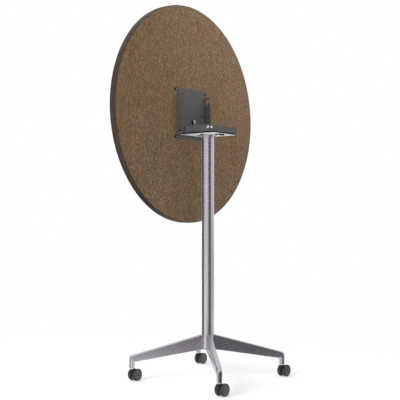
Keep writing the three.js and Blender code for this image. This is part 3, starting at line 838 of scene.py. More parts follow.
def deliver(obj: Piece, body: str, slot: Slot, *nodes: str) -> None:
    """Put a finished piece on its body, in place of its CAD nodes.

    Args:
        obj: The finished piece.
        body: The CAD body that it moves with.
        slot: The record's material slot; not used.
        nodes: The CAD nodes that it stands for.
    """
    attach(obj, body)
    if nodes:
        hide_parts(*nodes)
    log.info("%s rides on %s, %d faces", obj.name, body, len(obj.data.polygons))


def dress(node: str, bm: Shape, finish: Finish, body: str, slot: Slot) -> None:
    """Make a mesh, which is freed, the finished piece of one CAD node."""
    deliver(as_object(f"{node}_dressed", bm, finish), body, slot, node)


# --------------------------------------------------------------------------------- geometry nodes


class NodeTool:
    """A Geometry Nodes tree with named inputs, used to make plain meshes."""

    def __init__(self, name: str, inputs: dict[str, str]) -> None:
        """Start the tree.

        Args:
            name: The tree's name.
            inputs: Socket type of each named input.
        """
        self.tree = bpy.data.node_groups.new(name, "GeometryNodeTree")
        sockets = self.tree.interface
        self.keys = {
            label: sockets.new_socket(label, in_out="INPUT", socket_type=kind).identifier
            for label, kind in {**inputs, "Material": "NodeSocketMaterial"}.items()
        }
        sockets.new_socket("Geometry", in_out="OUTPUT", socket_type="NodeSocketGeometry")
        self.given = add_node(self.tree, "NodeGroupInput").outputs

    def close(self, geometry: Socket) -> None:
        """End the tree in Realize Instances and Set Material.

        A shape's second material, as the painted highlight in a screw's recess, stays.

        Args:
            geometry: The finished shape.
        """
        real = add_node(self.tree, "GeometryNodeRealizeInstances", {0: geometry})
        index = add_node(self.tree, "GeometryNodeInputMaterialIndex")
        first = {COMPARE_A: index.outputs[0], COMPARE_B: 0}
        main = add_node(
            self.tree, "FunctionNodeCompare", first, data_type="INT", operation="EQUAL"
        )
        parts = {
            "Geometry": real.outputs[0],
            "Selection": main.outputs[0],
            "Material": self.given["Material"],
        }
        dressed = add_node(self.tree, "GeometryNodeSetMaterial", parts)
        add_node(self.tree, "NodeGroupOutput", {0: dressed.outputs[0]})

    def close_on(self, points: Socket) -> None:
        """End the tree with a copy of its Fastener input on each point.

        Args:
            points: The points.
        """
        shape = add_node(self.tree, "GeometryNodeObjectInfo", {"Object": self.given["Fastener"]})
        parts = {"Points": points, "Instance": shape.outputs["Geometry"]}
        self.close(add_node(self.tree, "GeometryNodeInstanceOnPoints", parts).outputs[0])

    def make(self, name: str, finish: Finish, **values: object) -> Piece:
        """Run the tree once and keep the plain mesh.

        Args:
            name: The new piece's name.
            finish: The piece's finish.
            values: The tree's inputs, with underscores for spaces.

        Returns:
            The new object, at the origin.
        """
        obj = linked(name, bpy.data.meshes.new(name))
        run = obj.modifiers.new("make", "NODES")
        run.node_group = self.tree
        for label, value in values.items():
            run[self.keys[label.replace("_", " ")]] = value
        run[self.keys["Material"]] = finish.material()
        return settle(obj)


class FastenerGrid(NodeTool):
    """Copies of a fastener at an upright rectangle's corners, as the bracket's screws stand."""

    def __init__(self) -> None:
        """Build the tree: four points in the XZ plane, one fastener on each."""
        super().__init__(
            "fastener_grid",
            {
                "Fastener": "NodeSocketObject",
                "Pitch X": "NodeSocketFloat",
                "Pitch Z": "NodeSocketFloat",
                "Centre": "NodeSocketVector",
            },
        )
        sides = {
            "Size X": self.given["Pitch X"],
            "Size Y": self.given["Pitch Z"],
            "Vertices X": 2,
            "Vertices Y": 2,
        }
        grid = add_node(self.tree, "GeometryNodeMeshGrid", sides)
        upright = {
            "Geometry": grid.outputs[0],
            "Rotation": (QUARTER, 0, 0),
            "Translation": self.given["Centre"],
        }
        self.close_on(add_node(self.tree, "GeometryNodeTransform", upright).outputs[0])


class FastenerRing(NodeTool):
    """Copies of a fastener on a level circle, as the bolts stand round the column."""

    def __init__(self) -> None:
        """Build the tree: points on a circle, one fastener on each."""
        super().__init__(
            "fastener_ring",
            {
                "Fastener": "NodeSocketObject",
                "Radius": "NodeSocketFloat",
                "Count": "NodeSocketInt",
            },
        )
        circle = {"Vertices": self.given["Count"], "Radius": self.given["Radius"]}
        self.close_on(add_node(self.tree, "GeometryNodeMeshCircle", circle).outputs[0])


class CoilSpring(NodeTool):
    """A wire helix along +Y with a straight lead to its axis at each end."""

    turn_steps: int = 20
    wire_facets: int = 10

    def __init__(self) -> None:
        """Build the tree: helix and leads as curves, wire swept along them."""
        super().__init__(
            "coil_spring",
            {
                "Coil Radius": "NodeSocketFloat",
                "Wire Radius": "NodeSocketFloat",
                "Turns": "NodeSocketFloat",
                "Coil Length": "NodeSocketFloat",
                "Coil Start": "NodeSocketVector",
                "Coil End": "NodeSocketVector",
                "Lead Start": "NodeSocketVector",
                "Lead End": "NodeSocketVector",
                "Start": "NodeSocketVector",
            },
        )
        tree, given = self.tree, self.given
        turns = {
            "Resolution": self.turn_steps,
            "Rotations": given["Turns"],
            "Start Radius": given["Coil Radius"],
            "End Radius": given["Coil Radius"],
            "Height": given["Coil Length"],
        }
        helix = add_node(tree, "GeometryNodeCurveSpiral", turns)
        first, last = (
            add_node(tree, "GeometryNodeCurvePrimitiveLine", {"Start": given[a], "End": given[b]})
            for a, b in (("Lead Start", "Coil Start"), ("Coil End", "Lead End"))
        )
        joined = add_node(tree, "GeometryNodeJoinGeometry")
        for part in (first, helix, last):
            tree.links.new(part.outputs[0], joined.inputs[0])
        circle = {"Resolution": self.wire_facets, "Radius": given["Wire Radius"]}
        section = add_node(tree, "GeometryNodeCurvePrimitiveCircle", circle)
        wire = {
            "Curve": joined.outputs[0],
            "Profile Curve": section.outputs[0],
            "Fill Caps": True,
        }
        swept = add_node(tree, "GeometryNodeCurveToMesh", wire)
        smooth = add_node(tree, "GeometryNodeSetShadeSmooth", {"Geometry": swept.outputs[0]})
        laid = {
            "Geometry": smooth.outputs[0],
            "Rotation": (-QUARTER, 0, 0),
            "Translation": given["Start"],
        }
        self.close(add_node(tree, "GeometryNodeTransform", laid).outputs[0])


# --------------------------------------------------------------------------------- sub-assemblies


@dataclass
class Tabletop:
    """The round top: a board between two laminates, closed by an edge band."""

    edge_round: float = 1.6
    edge_steps: int = 4
    band_gap: float = 0.1  # between the laminates and the band
    facets: int = 256
    body: str = "top"

    @property
    def centre(self) -> Vector:
        """Return the top's middle on the plane y = 0."""
        spot = middle_of("edge_band")
        return Vector((spot.x, 0.0, spot.z))

    def build(self) -> None:
        """Make the band, both laminates and the board."""
        self.build_band()
        self.build_disc("underside_laminate", UNDERSIDE, Slot.UNDERSIDE)
        self.build_disc("top_laminate", SURFACE, Slot.SURFACE)
        self.build_disc("tabletop_core", BOARD, Slot.BOARD)

    def turn(self, node: str, profile: Profile, finish: Finish) -> Piece:
        """Turn one layer, from points of radius and y, about the top's middle."""
        layer = put(revolve(profile, self.facets), self.centre, Axis.BACK)
        return as_object(f"{node}_dressed", layer, finish)

    def build_band(self) -> None:
        """Turn the edge band with both outer edges rounded."""
        low, high = bounds_of("edge_band")
        inner = half_width("underside_laminate") + self.band_gap
        outer, ease, back = half_width("edge_band"), self.edge_round, high.y
        profile = [(inner, low.y), *lip(outer, low.y, ease, self.edge_steps)]
        profile += [
            (outer - ease + ease * math.cos(a), back - ease + ease * math.sin(a))
            for a in quarter_turn(self.edge_steps)
        ]
        profile += [(inner, back), (inner, low.y)]
        band = flattened(self.turn("edge_band", profile, EDGING))
        deliver(band, self.body, Slot.BAND, "edge_band")

    def build_disc(self, node: str, finish: Finish, slot: Slot) -> None:
        """Turn one flat layer of the top.

        Args:
            node: The CAD layer.
            finish: Its finish.
            slot: Its material slot.
        """
        low, high = bounds_of(node)
        radius = half_width(node)
        profile = [(0, low.y), (radius, low.y), (radius, high.y), (0, high.y)]
        disc = self.turn(node, profile, finish)
        deliver(disc, self.body, slot, node)
        disc.visible_glossy = False  # the coated tube is too dull to mirror the matt top


@dataclass
class MountingBracket:
    """The hooked channel on the underside, with its screws, bumper and rivets."""

    ease: float = 0.5
    soft: float = 0.5  # rounding of turned edges
    head_radius: float = 6.2
    head_height: float = 2.6
    head_dome: float = 1.4  # how far a head's face falls away to its rim
    shank_radius: float = 2.2
    screw_length: float = 22.0  # under the head
    point: float = 4.4
    tip_radius: float = 0.01
    recess_width: float = 0.22  # shares of the head's radius
    recess_length: float = 0.6
    recess_depth: float = 1.5
    bumper_head_radius: float = 7.6
    bumper_head_dome: float = 0.4
    bumper_socket_radius: float = 4.5
    bumper_round: float = 2.2
    bumper_steps: int = 5
    bumper_play: float = 0.4  # between its bore and its screw
    rivet_radius: float = 3.6
    rivet_height: float = 1.8
    rivet_shank: float = 2.2
    rivet_depth: float = 2.0
    rivet_inset: float = 17.7
    body: str = "top"

    def build(self) -> None:
        """Make the bracket, its four ear screws, the bumper and the web rivets."""
        bracket = eased_copy("mounting_bracket", CHARCOAL, self.ease)
        deliver(bracket, self.body, Slot.CHARCOAL, "mounting_bracket")
        self.build_ear_screws()
        self.build_bumper()
        self.build_rivets()

    def screw(self, length: float, head: float, dome: float, finish: Finish) -> Piece:
        """Make one pan-head screw along +Y, with its head's face at the origin and no recess yet.

        Args:
            length: From the head's face to the point.
            head: The head's radius.
            dome: How far the head's face falls away to its rim.
            finish: The screw's finish.

        Returns:
            The screw.
        """
        shank = self.shank_radius
        profile = [(0, 0)]
        profile += [(head * wide, dome * fall) for wide, fall in PAN_HEAD]
        profile += [
            (head, self.head_height),
            (shank, self.head_height),
            (shank, length - self.point),
            (self.tip_radius, length),
            (0, length),
        ]
        made = turned(profile, self.soft, FASTENER_FACETS, Vector(), Axis.BACK)
        return as_object("screw_shape", made, finish)

    def cross_cut(self, screw: Piece, head: float) -> Piece:
        """Cut a cross recess into a screw's head and line it with bright zinc, a painted highlight.

        Args:
            screw: The screw.
            head: Its head's radius.

        Returns:
            The same screw.
        """
        thin, long = self.recess_width * head, self.recess_length * head
        for width, height in ((thin, long), (long, thin)):
            bar = bmesh.new()
            size = Vector((width, 2 * self.recess_depth, height)) * MM
            bmesh.ops.create_cube(bar, size=1.0, matrix=Matrix.Diagonal(size).to_4x4())
            # The bars carry bright zinc into the cut: a painted highlight in the recess.
            sunk(screw, as_object("recess_bar", bar, ZINC))
        return screw

    def build_ear_screws(self) -> None:
        """Stand four screws at the ears."""
        nodes = [f"bracket_screw_{corner.label}" for corner in Corner]
        spots = [middle_of(node) for node in nodes]
        low, high = bounds_of(nodes[0])
        plain = self.screw(high.y - low.y, self.head_radius, self.head_dome, BLACK_STEEL)
        shape = self.cross_cut(plain, self.head_radius)
        left, right = min(spot.x for spot in spots), max(spot.x for spot in spots)
        bottom, top = min(spot.z for spot in spots), max(spot.z for spot in spots)
        screws = FastenerGrid().make(
            "bracket_screws",
            BLACK_STEEL,
            Fastener=shape,
            Pitch_X=(right - left) * MM,
            Pitch_Z=(top - bottom) * MM,
            Centre=Vector(((right + left) / 2, low.y, (top + bottom) / 2)) * MM,
        )
        bpy.data.objects.remove(shape)
        deliver(screws, self.body, Slot.BLACK_STEEL, *nodes)

    def build_bumper(self) -> None:
        """Make the rubber bumper on the web and its bright screw."""
        low, high = bounds_of("web_bumper")
        spot = middle_of("web_bumper")
        outer, bore = half_width("web_bumper"), self.shank_radius + self.bumper_play
        ring = [(bore, low.y), *lip(outer, low.y, self.bumper_round, self.bumper_steps)]
        ring += [(outer, high.y), (bore, high.y), (bore, low.y)]
        bumper = put(revolve(ring, COLLAR_FACETS), Vector((spot.x, 0, spot.z)), Axis.BACK)
        dress("web_bumper", bumper, HOOD_PLASTIC, self.body, Slot.BLACK_PLASTIC)
        low, high = bounds_of("bumper_screw")
        made = self.screw(high.y - low.y, self.bumper_head_radius, self.bumper_head_dome, ZINC)
        socket = prism(HEXAGON, self.bumper_socket_radius, -OVERSHOOT, self.recess_depth)
        # The socket's faces take black oxide: painted shade in the depth of the zinc screw's
        # socket.
        sunk(made, as_object("hex_socket", put(socket, Vector(), Axis.BACK), BLACK_STEEL))
        made.name = "bumper_screw_dressed"
        made.data.transform(Matrix.Translation(Vector((spot.x, low.y, spot.z)) * MM))
        deliver(made, self.body, Slot.ZINC, "bumper_screw")

    def build_rivets(self) -> None:
        """Press a dark rivet into each of the web's two holes."""
        screws = [middle_of(f"bracket_screw_{corner.label}") for corner in Corner]
        level = sum(spot.z for spot in screws) / len(screws)
        face = bounds_of("bracket_screw_front_left")[1].y - self.screw_length
        width = bounds_of("pivot_bush_right")[1].x
        shank, depth, radius = self.rivet_shank, self.rivet_depth, self.rivet_radius
        profile = [(0, -depth), (shank, -depth), (shank, 0), (radius, 0)]
        profile += rivet_head(radius, self.rivet_height)
        for side in Side:
            spot = Vector((side.value * (width - self.rivet_inset), face, level))
            rivet = turned(profile, self.soft, FASTENER_FACETS, spot, Axis.FRONT)
            made = as_object(f"web_rivet_{side.label}", rivet, BLACK_STEEL)
            deliver(made, self.body, Slot.BLACK_STEEL)


@dataclass
class FlipHinge:
    """The riveted pins and the bushes they turn in."""

    shaft: float = 4.0
    head: float = 6.0
    head_height: float = 2.5
    head_shoulder: tuple[float, float] = (0.92, 0.4)  # shares of the head's radius and height
    head_flat: float = 0.6  # share of the head's radius
    pin_soft: float = 0.7
    bore: float = 4.3
    sleeve: float = 6.0
    sleeve_length: float = 3.3
    bush_soft: float = 0.5
    pin_body: str = "base"
    bush_body: str = "top"

    def build(self) -> None:
        """Make a pin and a bush at each end."""
        for side in Side:
            self.build_pin(side)
            self.build_bush(side)

    def build_pin(self, side: Side) -> None:
        """Turn one pin with an upset inner head and a domed outer one.

        Args:
            side: The end of the hinge.
        """
        node = f"pivot_pin_{side.label}"
        inner, outer, spot = reach_of(node)
        head, shaft, tall = self.head, self.shaft, self.head_height
        wide, high = self.head_shoulder
        profile = [
            (0, inner),
            (head, inner),
            (head, inner + tall),
            (shaft, inner + tall),
            (shaft, outer - tall),
            (head, outer - tall),
            (head * wide, outer - tall * high),
            (head * self.head_flat, outer),
            (0, outer),
        ]
        pin = turned(profile, self.pin_soft, SHAFT_FACETS, spot, side.outward)
        dress(node, pin, BLACK_STEEL, self.pin_body, Slot.BLACK_STEEL)

    def build_bush(self, side: Side) -> None:
        """Turn one flanged bush.

        Args:
            side: The end of the hinge.
        """
        node = f"pivot_bush_{side.label}"
        inner, outer, spot = reach_of(node)
        low, high = bounds_of(node)
        flange = (high.z - low.z) / 2
        shoulder = outer - self.sleeve_length
        profile = [
            (self.bore, inner),
            (flange, inner),
            (flange, shoulder),
            (self.sleeve, shoulder),
            (self.sleeve, outer),
            (self.bore, outer),
            (self.bore, inner),
        ]
        bush = turned(profile, self.bush_soft, COLLAR_FACETS, spot, side.outward)
        dress(node, bush, ACETAL, self.bush_body, Slot.NYLON)


@dataclass
class Tray:
    """The fixed tray, the support plate under it and the bolts between them."""

    ease: float = 0.5
    soft: float = 0.6  # rounding of turned edges
    plate_ease: float = 0.9
    # faces steeper than this take the black painted shadow of the gap under the tray
    plate_edge_slope: float = 0.8  # a face that is steeper than this belongs to the edge
    bolt_count: int = 4
    bolt_head: float = 6.0
    bolt_head_height: float = 3.4
    bolt_crown: float = 0.62  # shares of the head's radius
    bolt_shoulder: float = 0.93
    bolt_shoulder_fall: float = 1.3
    bolt_rim: float = 0.3
    bolt_shaft: float = 3.0
    socket: float = 2.3
    socket_depth: float = 2.0
    nut_radius: float = 5.75
    nut_ease: float = 0.6
    nut_play: float = 0.3  # between its bore and the bolt
    nut_facets: int = 48
    rivet_radius: float = 4.2
    rivet_height: float = 1.9
    rivet_rim: float = 0.3
    rivet_depth: float = 0.4
    rivet_y: float = -82.5
    rivet_z: float = 1038.0
    body: str = "base"

    def build(self) -> None:
        """Make the tray, plate, bolts, nuts and side rivets."""
        deliver(eased_copy("tray", CHARCOAL, self.ease), self.body, Slot.CHARCOAL, "tray")
        self.build_plate()
        self.build_bolts()
        self.build_nuts()
        self.build_rivets()

    def build_plate(self) -> None:
        """Make the support plate, painted pale on its faces for the floor's light and painted black
        round its edge as the shadow gap under the tray.
        """
        plate = eased_copy("support_plate", PAINTED_LIGHT_PLATE_SILVER, self.plate_ease)
        # Black oxide on the edge faces: painted shadow for the gap between the tray and the plate.
        plate.data.materials.append(BLACK_STEEL.material())
        for face in plate.data.polygons:
            if abs(face.normal.z) < self.plate_edge_slope:
                face.material_index = 1
        deliver(plate, self.body, Slot.SILVER, "support_plate")

    def nodes(self, kind: str) -> list[str]:
        """Return the names of the CAD nodes of one kind of fastener."""
        return [f"{kind}_{i + 1}" for i in range(self.bolt_count)]

    def ring_of(self, name: str, shape: Piece, finish: Finish, nodes: list[str]) -> Piece:
        """Stand a fastener at each bolt place.

        Args:
            name: The new piece's name.
            shape: One fastener about the Z axis; it is removed.
            finish: Its finish.
            nodes: The CAD fasteners that it stands for.

        Returns:
            The fasteners as one piece.
        """
        spot = middle_of(nodes[0])
        radius = math.hypot(spot.x, spot.y) * MM
        made = FastenerRing().make(name, finish, Fastener=shape, Radius=radius, Count=len(nodes))
        bpy.data.objects.remove(shape)
        return made

    def build_bolts(self) -> None:
        """Turn the button-head bolts, each with a hexagon socket."""
        nodes = self.nodes("tray_bolt")
        low, high = bounds_of(nodes[0])
        head, seat = self.bolt_head, low.z + self.bolt_head_height
        profile = [
            (0, low.z),
            (head * self.bolt_crown, low.z),
            (head * self.bolt_shoulder, low.z + self.bolt_shoulder_fall),
            (head, seat - self.bolt_rim),
            (head, seat),
            (self.bolt_shaft, seat),
            (self.bolt_shaft, high.z),
            (0, high.z),
        ]
        bolt = revolve(softened(profile, self.soft), FASTENER_FACETS)
        shape = as_object("bolt_shape", bolt, BLACK_STEEL)
        hole = prism(HEXAGON, self.socket, low.z - OVERSHOOT, low.z + self.socket_depth)
        sunk(shape, as_object("hex_socket", hole))
        bolts = self.ring_of("tray_bolts", shape, BLACK_STEEL, nodes)
        deliver(bolts, self.body, Slot.BLACK_STEEL, *nodes)

    def build_nuts(self) -> None:
        """Make the hexagon nuts with turned ends."""
        nodes = self.nodes("tray_nut")
        low, high = bounds_of(nodes[0])
        bore, tip, ease = self.bolt_shaft + self.nut_play, self.nut_radius, self.nut_ease
        path = [
            (bore, low.z),
            (tip - ease, low.z),
            (tip, low.z + ease),
            (tip, high.z - ease),
            (tip - ease, high.z),
            (bore, high.z),
        ]
        bm = bmesh.new()
        rings = []
        half_side = math.pi / HEXAGON
        for radius, height in path:
            points = []
            for i in range(self.nut_facets):
                angle = 2 * math.pi * i / self.nut_facets
                flat = tip * math.cos(half_side) / math.cos(angle % (2 * half_side) - half_side)
                reach = min(radius, flat)
                spot = Vector((reach * math.cos(angle), reach * math.sin(angle), height))
                points.append(bm.verts.new(spot * MM))
            rings.append(points)
        skin(bm, rings + [rings[0]])
        nuts = self.ring_of("tray_nuts", as_object("nut_shape", bm, ZINC), ZINC, nodes)
        deliver(nuts, self.body, Slot.ZINC, *nodes)

    def build_rivets(self) -> None:
        """Press a domed rivet into each side wall, ahead of the latch slot."""
        low, high = bounds_of("tray")
        radius, depth = self.rivet_radius, self.rivet_depth
        profile = [(0, -depth), (radius, -depth), (radius, self.rivet_rim)]
        profile += rivet_head(radius, self.rivet_height)
        for side in Side:
            wall = high.x if side is Side.RIGHT else low.x
            spot = Vector((wall, self.rivet_y, self.rivet_z))
            rivet = turned(profile, self.soft, FASTENER_FACETS, spot, side.outward)
            deliver(as_object(f"tray_rivet_{side.label}", rivet, ZINC), self.body, Slot.ZINC)


@dataclass
class Latch:
    """The sprung rod that the hooks drop over, its trigger, clips, springs and anchors."""

    rod_radius: float = 4.0
    rod_nose: float = 0.72  # share of the rod's radius
    rod_chamfer: float = 1.1
    rod_soft: float = 0.6
    trigger_ease: float = 0.6
    clip_bore: float = 4.3
    clip_radius: float = 7.0
    clip_soft: float = 0.3
    coil_radius: float = 3.75
    wire_radius: float = 0.75
    turns: float = 9.0
    lead: float = 6.0
    keep: float = 0.69  # share of the spring's length that is left when the rod is back
    anchor_radius: float = 3.0
    anchor_head: float = 5.0
    anchor_rim: float = 2.0
    anchor_soft: float = 0.5
    body: str = "latch"
    spring_body: str = "base"

    def build(self) -> None:
        """Make every piece of the latch."""
        self.build_rod()
        trigger = eased_copy("release_trigger", HOOD_PLASTIC, self.trigger_ease)
        deliver(trigger, self.body, Slot.BLACK_PLASTIC, "release_trigger")
        spring = CoilSpring()
        for side in Side:
            self.build_clip(side)
            self.build_spring(side, spring)
            self.build_anchor(side)

    def build_rod(self) -> None:
        """Turn the rod with chamfered ends."""
        end, radius = half_width("latch_rod"), self.rod_radius
        nose, shoulder = radius * self.rod_nose, end - self.rod_chamfer
        profile = [(0, -end), (nose, -end), (radius, -shoulder)]
        profile += [(radius, shoulder), (nose, end), (0, end)]
        spot = middle_of("latch_rod")
        rod = turned(profile, self.rod_soft, SHAFT_FACETS, spot, Axis.RIGHT)
        dress("latch_rod", rod, ZINC, self.body, Slot.ZINC)

    def build_clip(self, side: Side) -> None:
        """Turn one retaining clip.

        Args:
            side: Which clip.
        """
        node = f"rod_clip_{side.label}"
        half, bore, outer = half_width(node), self.clip_bore, self.clip_radius
        profile = [(bore, -half), (outer, -half), (outer, half), (bore, half), (bore, -half)]
        clip = turned(profile, self.clip_soft, SHAFT_FACETS, middle_of(node), Axis.RIGHT)
        dress(node, clip, BLACK_STEEL, self.body, Slot.BLACK_STEEL)

    def build_spring(self, side: Side, tool: CoilSpring) -> None:
        """Wind one return spring.

        Args:
            side: Which spring.
            tool: The spring maker.
        """
        node = f"latch_spring_{side.label}"
        low, high = bounds_of(node)
        spot = middle_of(node)
        coil = high.y - low.y - 2 * self.lead
        made = tool.make(
            f"{node}_dressed",
            ZINC,
            Coil_Radius=self.coil_radius * MM,
            Wire_Radius=self.wire_radius * MM,
            Turns=self.turns,
            Coil_Length=coil * MM,
            Coil_Start=Vector((self.coil_radius, 0, 0)) * MM,
            Coil_End=Vector((self.coil_radius, 0, coil)) * MM,
            Lead_Start=Vector((0, 0, -self.lead)) * MM,
            Lead_End=Vector((0, 0, coil + self.lead)) * MM,
            Start=Vector((spot.x, low.y + self.lead, spot.z)) * MM,
        )
        deliver(made, self.spring_body, Slot.ZINC, node)
        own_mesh(made)

    def build_anchor(self, side: Side) -> None:
        """Turn one spring anchor post.

        Args:
            side: Which anchor.
        """
        node = f"spring_anchor_{side.label}"
        low, high = bounds_of(node)
        spot = middle_of(node)
        head, shaft, rim = self.anchor_head, self.anchor_radius, self.anchor_rim
        profile = [
            (0, low.z),
            (head, low.z),
            (head, low.z + rim),
            (shaft, low.z + rim),
            (shaft, high.z - rim),
            (head, high.z - rim),
            (head, high.z),
            (0, high.z),
        ]
        post = turned(profile, self.anchor_soft, FASTENER_FACETS, Vector((spot.x, spot.y, 0)))
        dress(node, post, ZINC, self.spring_body, Slot.ZINC)


@dataclass
class Column:
    """The round tube and the plug that closes its foot."""

    wall: float = 2.0
    soft: float = 0.4
    facets: int = 128
    plug_play: float = 0.3  # between the plug and the tube
    plug_chamfer: float = 1.0
    plug_soft: float = 0.5
    plug_facets: int = 96
    body: str = "base"

    def build(self) -> None:
        """Make the tube and the plug."""
        low, high = bounds_of("column")
        outer = half_width("column")
        inner = outer - self.wall
        ring = [(inner, low.z), (outer, low.z), (outer, high.z), (inner, high.z), (inner, low.z)]
        tube = as_object("column_dressed", revolve(softened(ring, self.soft), self.facets), SILVER)
        deliver(flattened(tube), self.body, Slot.SILVER, "column")
        foot, top = bounds_of("column_plug")
        spigot, seat = inner - self.plug_play, low.z - self.plug_play
        profile = [
            (0, foot.z),
            (outer - self.plug_chamfer, foot.z),
            (outer, foot.z + self.plug_chamfer),
            (outer, seat),
            (spigot, seat),
            (spigot, top.z),
            (spigot - self.wall, top.z),
            (spigot - self.wall, low.z),
            (0, low.z),
        ]
        plug = revolve(softened(profile, self.plug_soft), self.plug_facets)
        dress("column_plug", plug, HOOD_PLASTIC, self.body, Slot.BLACK_PLASTIC)


@dataclass
class Leg:
    """One tapered blade that turns down over a round knee into its post."""

    corner: Corner
    width: float = 22.0
    reach: float = 315.0
    top_at_column: float = 194.0
    top_at_end: float = 107.0
    under_at_column: float = 128.5
    under_at_end: float = 80.5
    saddle: float = 25.7
    knee: float = 14.0
    fillet: float = 9.0
    ridge: float = 4.0  # the upper edges
    edge: float = 1.6  # the under edges
    post_bottom: float = 54.5
    post_ease: float = 0.7  # the round at the post's foot
    post_ease_middle: float = 0.2  # how far its middle lies in from the corner
    bore: float = 5.8
    bore_depth: float = 36.3
    blade_shares: tuple[float, ...] = (0.04, 0.3, 0.6, 0.9, 1.0)  # sections along the blade
    corner_steps: int = 6
    knee_steps: int = 14
    knee_arc_steps: int = 8
    round_from: float = 0.7  # share of the knee after which the section is round
    body: str = "base"

    def build(self) -> None:
        """Loft the leg from its sections and turn it to its corner."""
        bm = bmesh.new()
        rings = [[bm.verts.new(p * MM) for p in ring] for ring in self.sections()]
        skin(bm, rings)
        bm.faces.new(rings[0])
        bm.faces.new(rings[-1])
        x, y = self.corner.value
        bmesh.ops.transform(bm, matrix=Matrix.Rotation(math.atan2(y, x), 4, "Z"), verts=bm.verts)
        node = f"leg_{self.corner.label}"
        leg = as_object(f"{node}_dressed", bm, SILVER)
        deliver(flattened(leg), self.body, Slot.SILVER, node)

    def section(
        self, low: Vector, high: Vector, ridge: float, edge: float, half: float | None = None
    ) -> list[Vector]:
        """Return one rounded section.

        Args:
            low: Its under point, as distance from the column and height.
            high: Its upper point.
            ridge: Radius of its upper corners.
            edge: Radius of its under corners.
            half: Half its width; the leg's own if left out.

        Returns:
            Points round the section.
        """
        wide = half or self.width / 2
        middle, across = (low + high) / 2, high - low
        tall = across.length / 2
        up = across.normalized()
        points = []
        for quarter in range(4):
            start = quarter * QUARTER
            radius = min(ridge if quarter < 2 else edge, tall, wide)
            side = math.copysign(1, math.cos(start + QUARTER / 2)) * (wide - radius)
            rise = math.copysign(1, math.sin(start + QUARTER / 2)) * (tall - radius)
            for turn in quarter_turn(self.corner_steps):
                y = side + radius * math.cos(start + turn)
                along = middle + up * (rise + radius * math.sin(start + turn))
                points.append(Vector((along.x, y, along.y)))
        return points

    def sections(self) -> list[list[Vector]]:
        """Work out every section from the column to the post's bore.

        Returns:
            The sections' points, in order.
        """
        outer, inner = self.reach + self.width / 2, self.reach - self.width / 2
        knee_x, knee_z = outer - self.knee, self.top_at_end - self.knee
        slope = math.atan2(self.top_at_column - self.top_at_end, knee_x)
        fall, rise = self.knee * math.sin(slope), self.knee * math.cos(slope)
        turn = Vector((knee_x + fall, knee_z + rise))
        bend = inner - self.fillet
        under_bend = self.under_at_end + self.fillet * math.tan(slope / 2)

        def upper(x: float) -> Vector:
            """Return the upper edge's point at a distance from the column."""
            return Vector((x, self.top_at_column + (turn.y - self.top_at_column) * x / turn.x))

        def under(x: float) -> Vector:
            """Return the under edge's point at a distance from the column."""
            drop = (under_bend - self.under_at_column) * x / bend
            return Vector((x, self.under_at_column + drop))

        start = self.section(under(self.saddle), upper(self.saddle), self.ridge, self.edge)
        for point in start:
            point.x = math.sqrt(self.saddle**2 - point.y**2)
        rings = [start]
        for share in self.blade_shares:
            x = self.saddle + (bend - self.saddle) * share
            rings.append(self.section(under(x), upper(x), self.ridge, self.edge))
        rings += self.knee_sections(Vector((bend, under_bend)), upper(bend), turn, slope)
        return rings + self.post_sections()

    def knee_sections(
        self, under: Vector, upper: Vector, turn: Vector, slope: float
    ) -> list[list[Vector]]:
        """Return the sections that fan round the knee, from the flat blade's to the round post's.

        Args:
            under: Where the inner fillet starts.
            upper: The upper edge above that.
            turn: Where the outer knee starts.
            slope: The upper edge's fall.

        Returns:
            The sections after the blade's last one.
        """
        outer, inner = self.reach + self.width / 2, self.reach - self.width / 2
        knee = Vector((outer - self.knee, self.top_at_end - self.knee))
        path = [upper, turn]
        for step in range(1, self.knee_arc_steps + 1):
            angle = (QUARTER - slope) * (1 - step / self.knee_arc_steps)
            path.append(knee + Vector((math.cos(angle), math.sin(angle))) * self.knee)
        low_z = self.under_at_end - self.fillet
        path.append(Vector((outer, low_z)))
        lengths = [0.0]
        for first, second in zip(path, path[1:]):
            lengths.append(lengths[-1] + (second - first).length)
        hook, end = Vector((inner, self.under_at_end)), Vector((inner, low_z))
        rings = []
        for step in range(1, self.knee_steps + 1):
            t = step / self.knee_steps
            want = t * lengths[-1]
            i = max(k for k, gone in enumerate(lengths[:-1]) if gone <= want)
            share = (want - lengths[i]) / (lengths[i + 1] - lengths[i])
            high = path[i].lerp(path[i + 1], min(share, 1.0))
            low = bowed(under, hook, end, t)
            swell = min(1.0, t / self.round_from)
            edge = self.edge + (self.width / 2 - self.edge) * swell * swell * (3 - 2 * swell)
            ridge = self.ridge + (self.width / 2 - self.ridge) * swell
            rings.append(self.section(low, high, ridge, edge))
        return rings

    def post_sections(self) -> list[list[Vector]]:
        """Work out the round sections at the post's foot and up its bore.

        Returns:
            The sections' points, in order.
        """
        radius, foot = self.width / 2, self.post_bottom
        ease, middle = self.post_ease, self.post_ease_middle
        ends = [(foot + ease, radius), (foot + middle, radius - middle), (foot, radius - ease)]
        ends += [(foot, self.bore), (foot + self.bore_depth, self.bore)]
        rings = []
        for z, size in ends:
            near, far = Vector((self.reach - size, z)), Vector((self.reach + size, z))
            rings.append(self.section(near, far, size, size, size))
        return rings


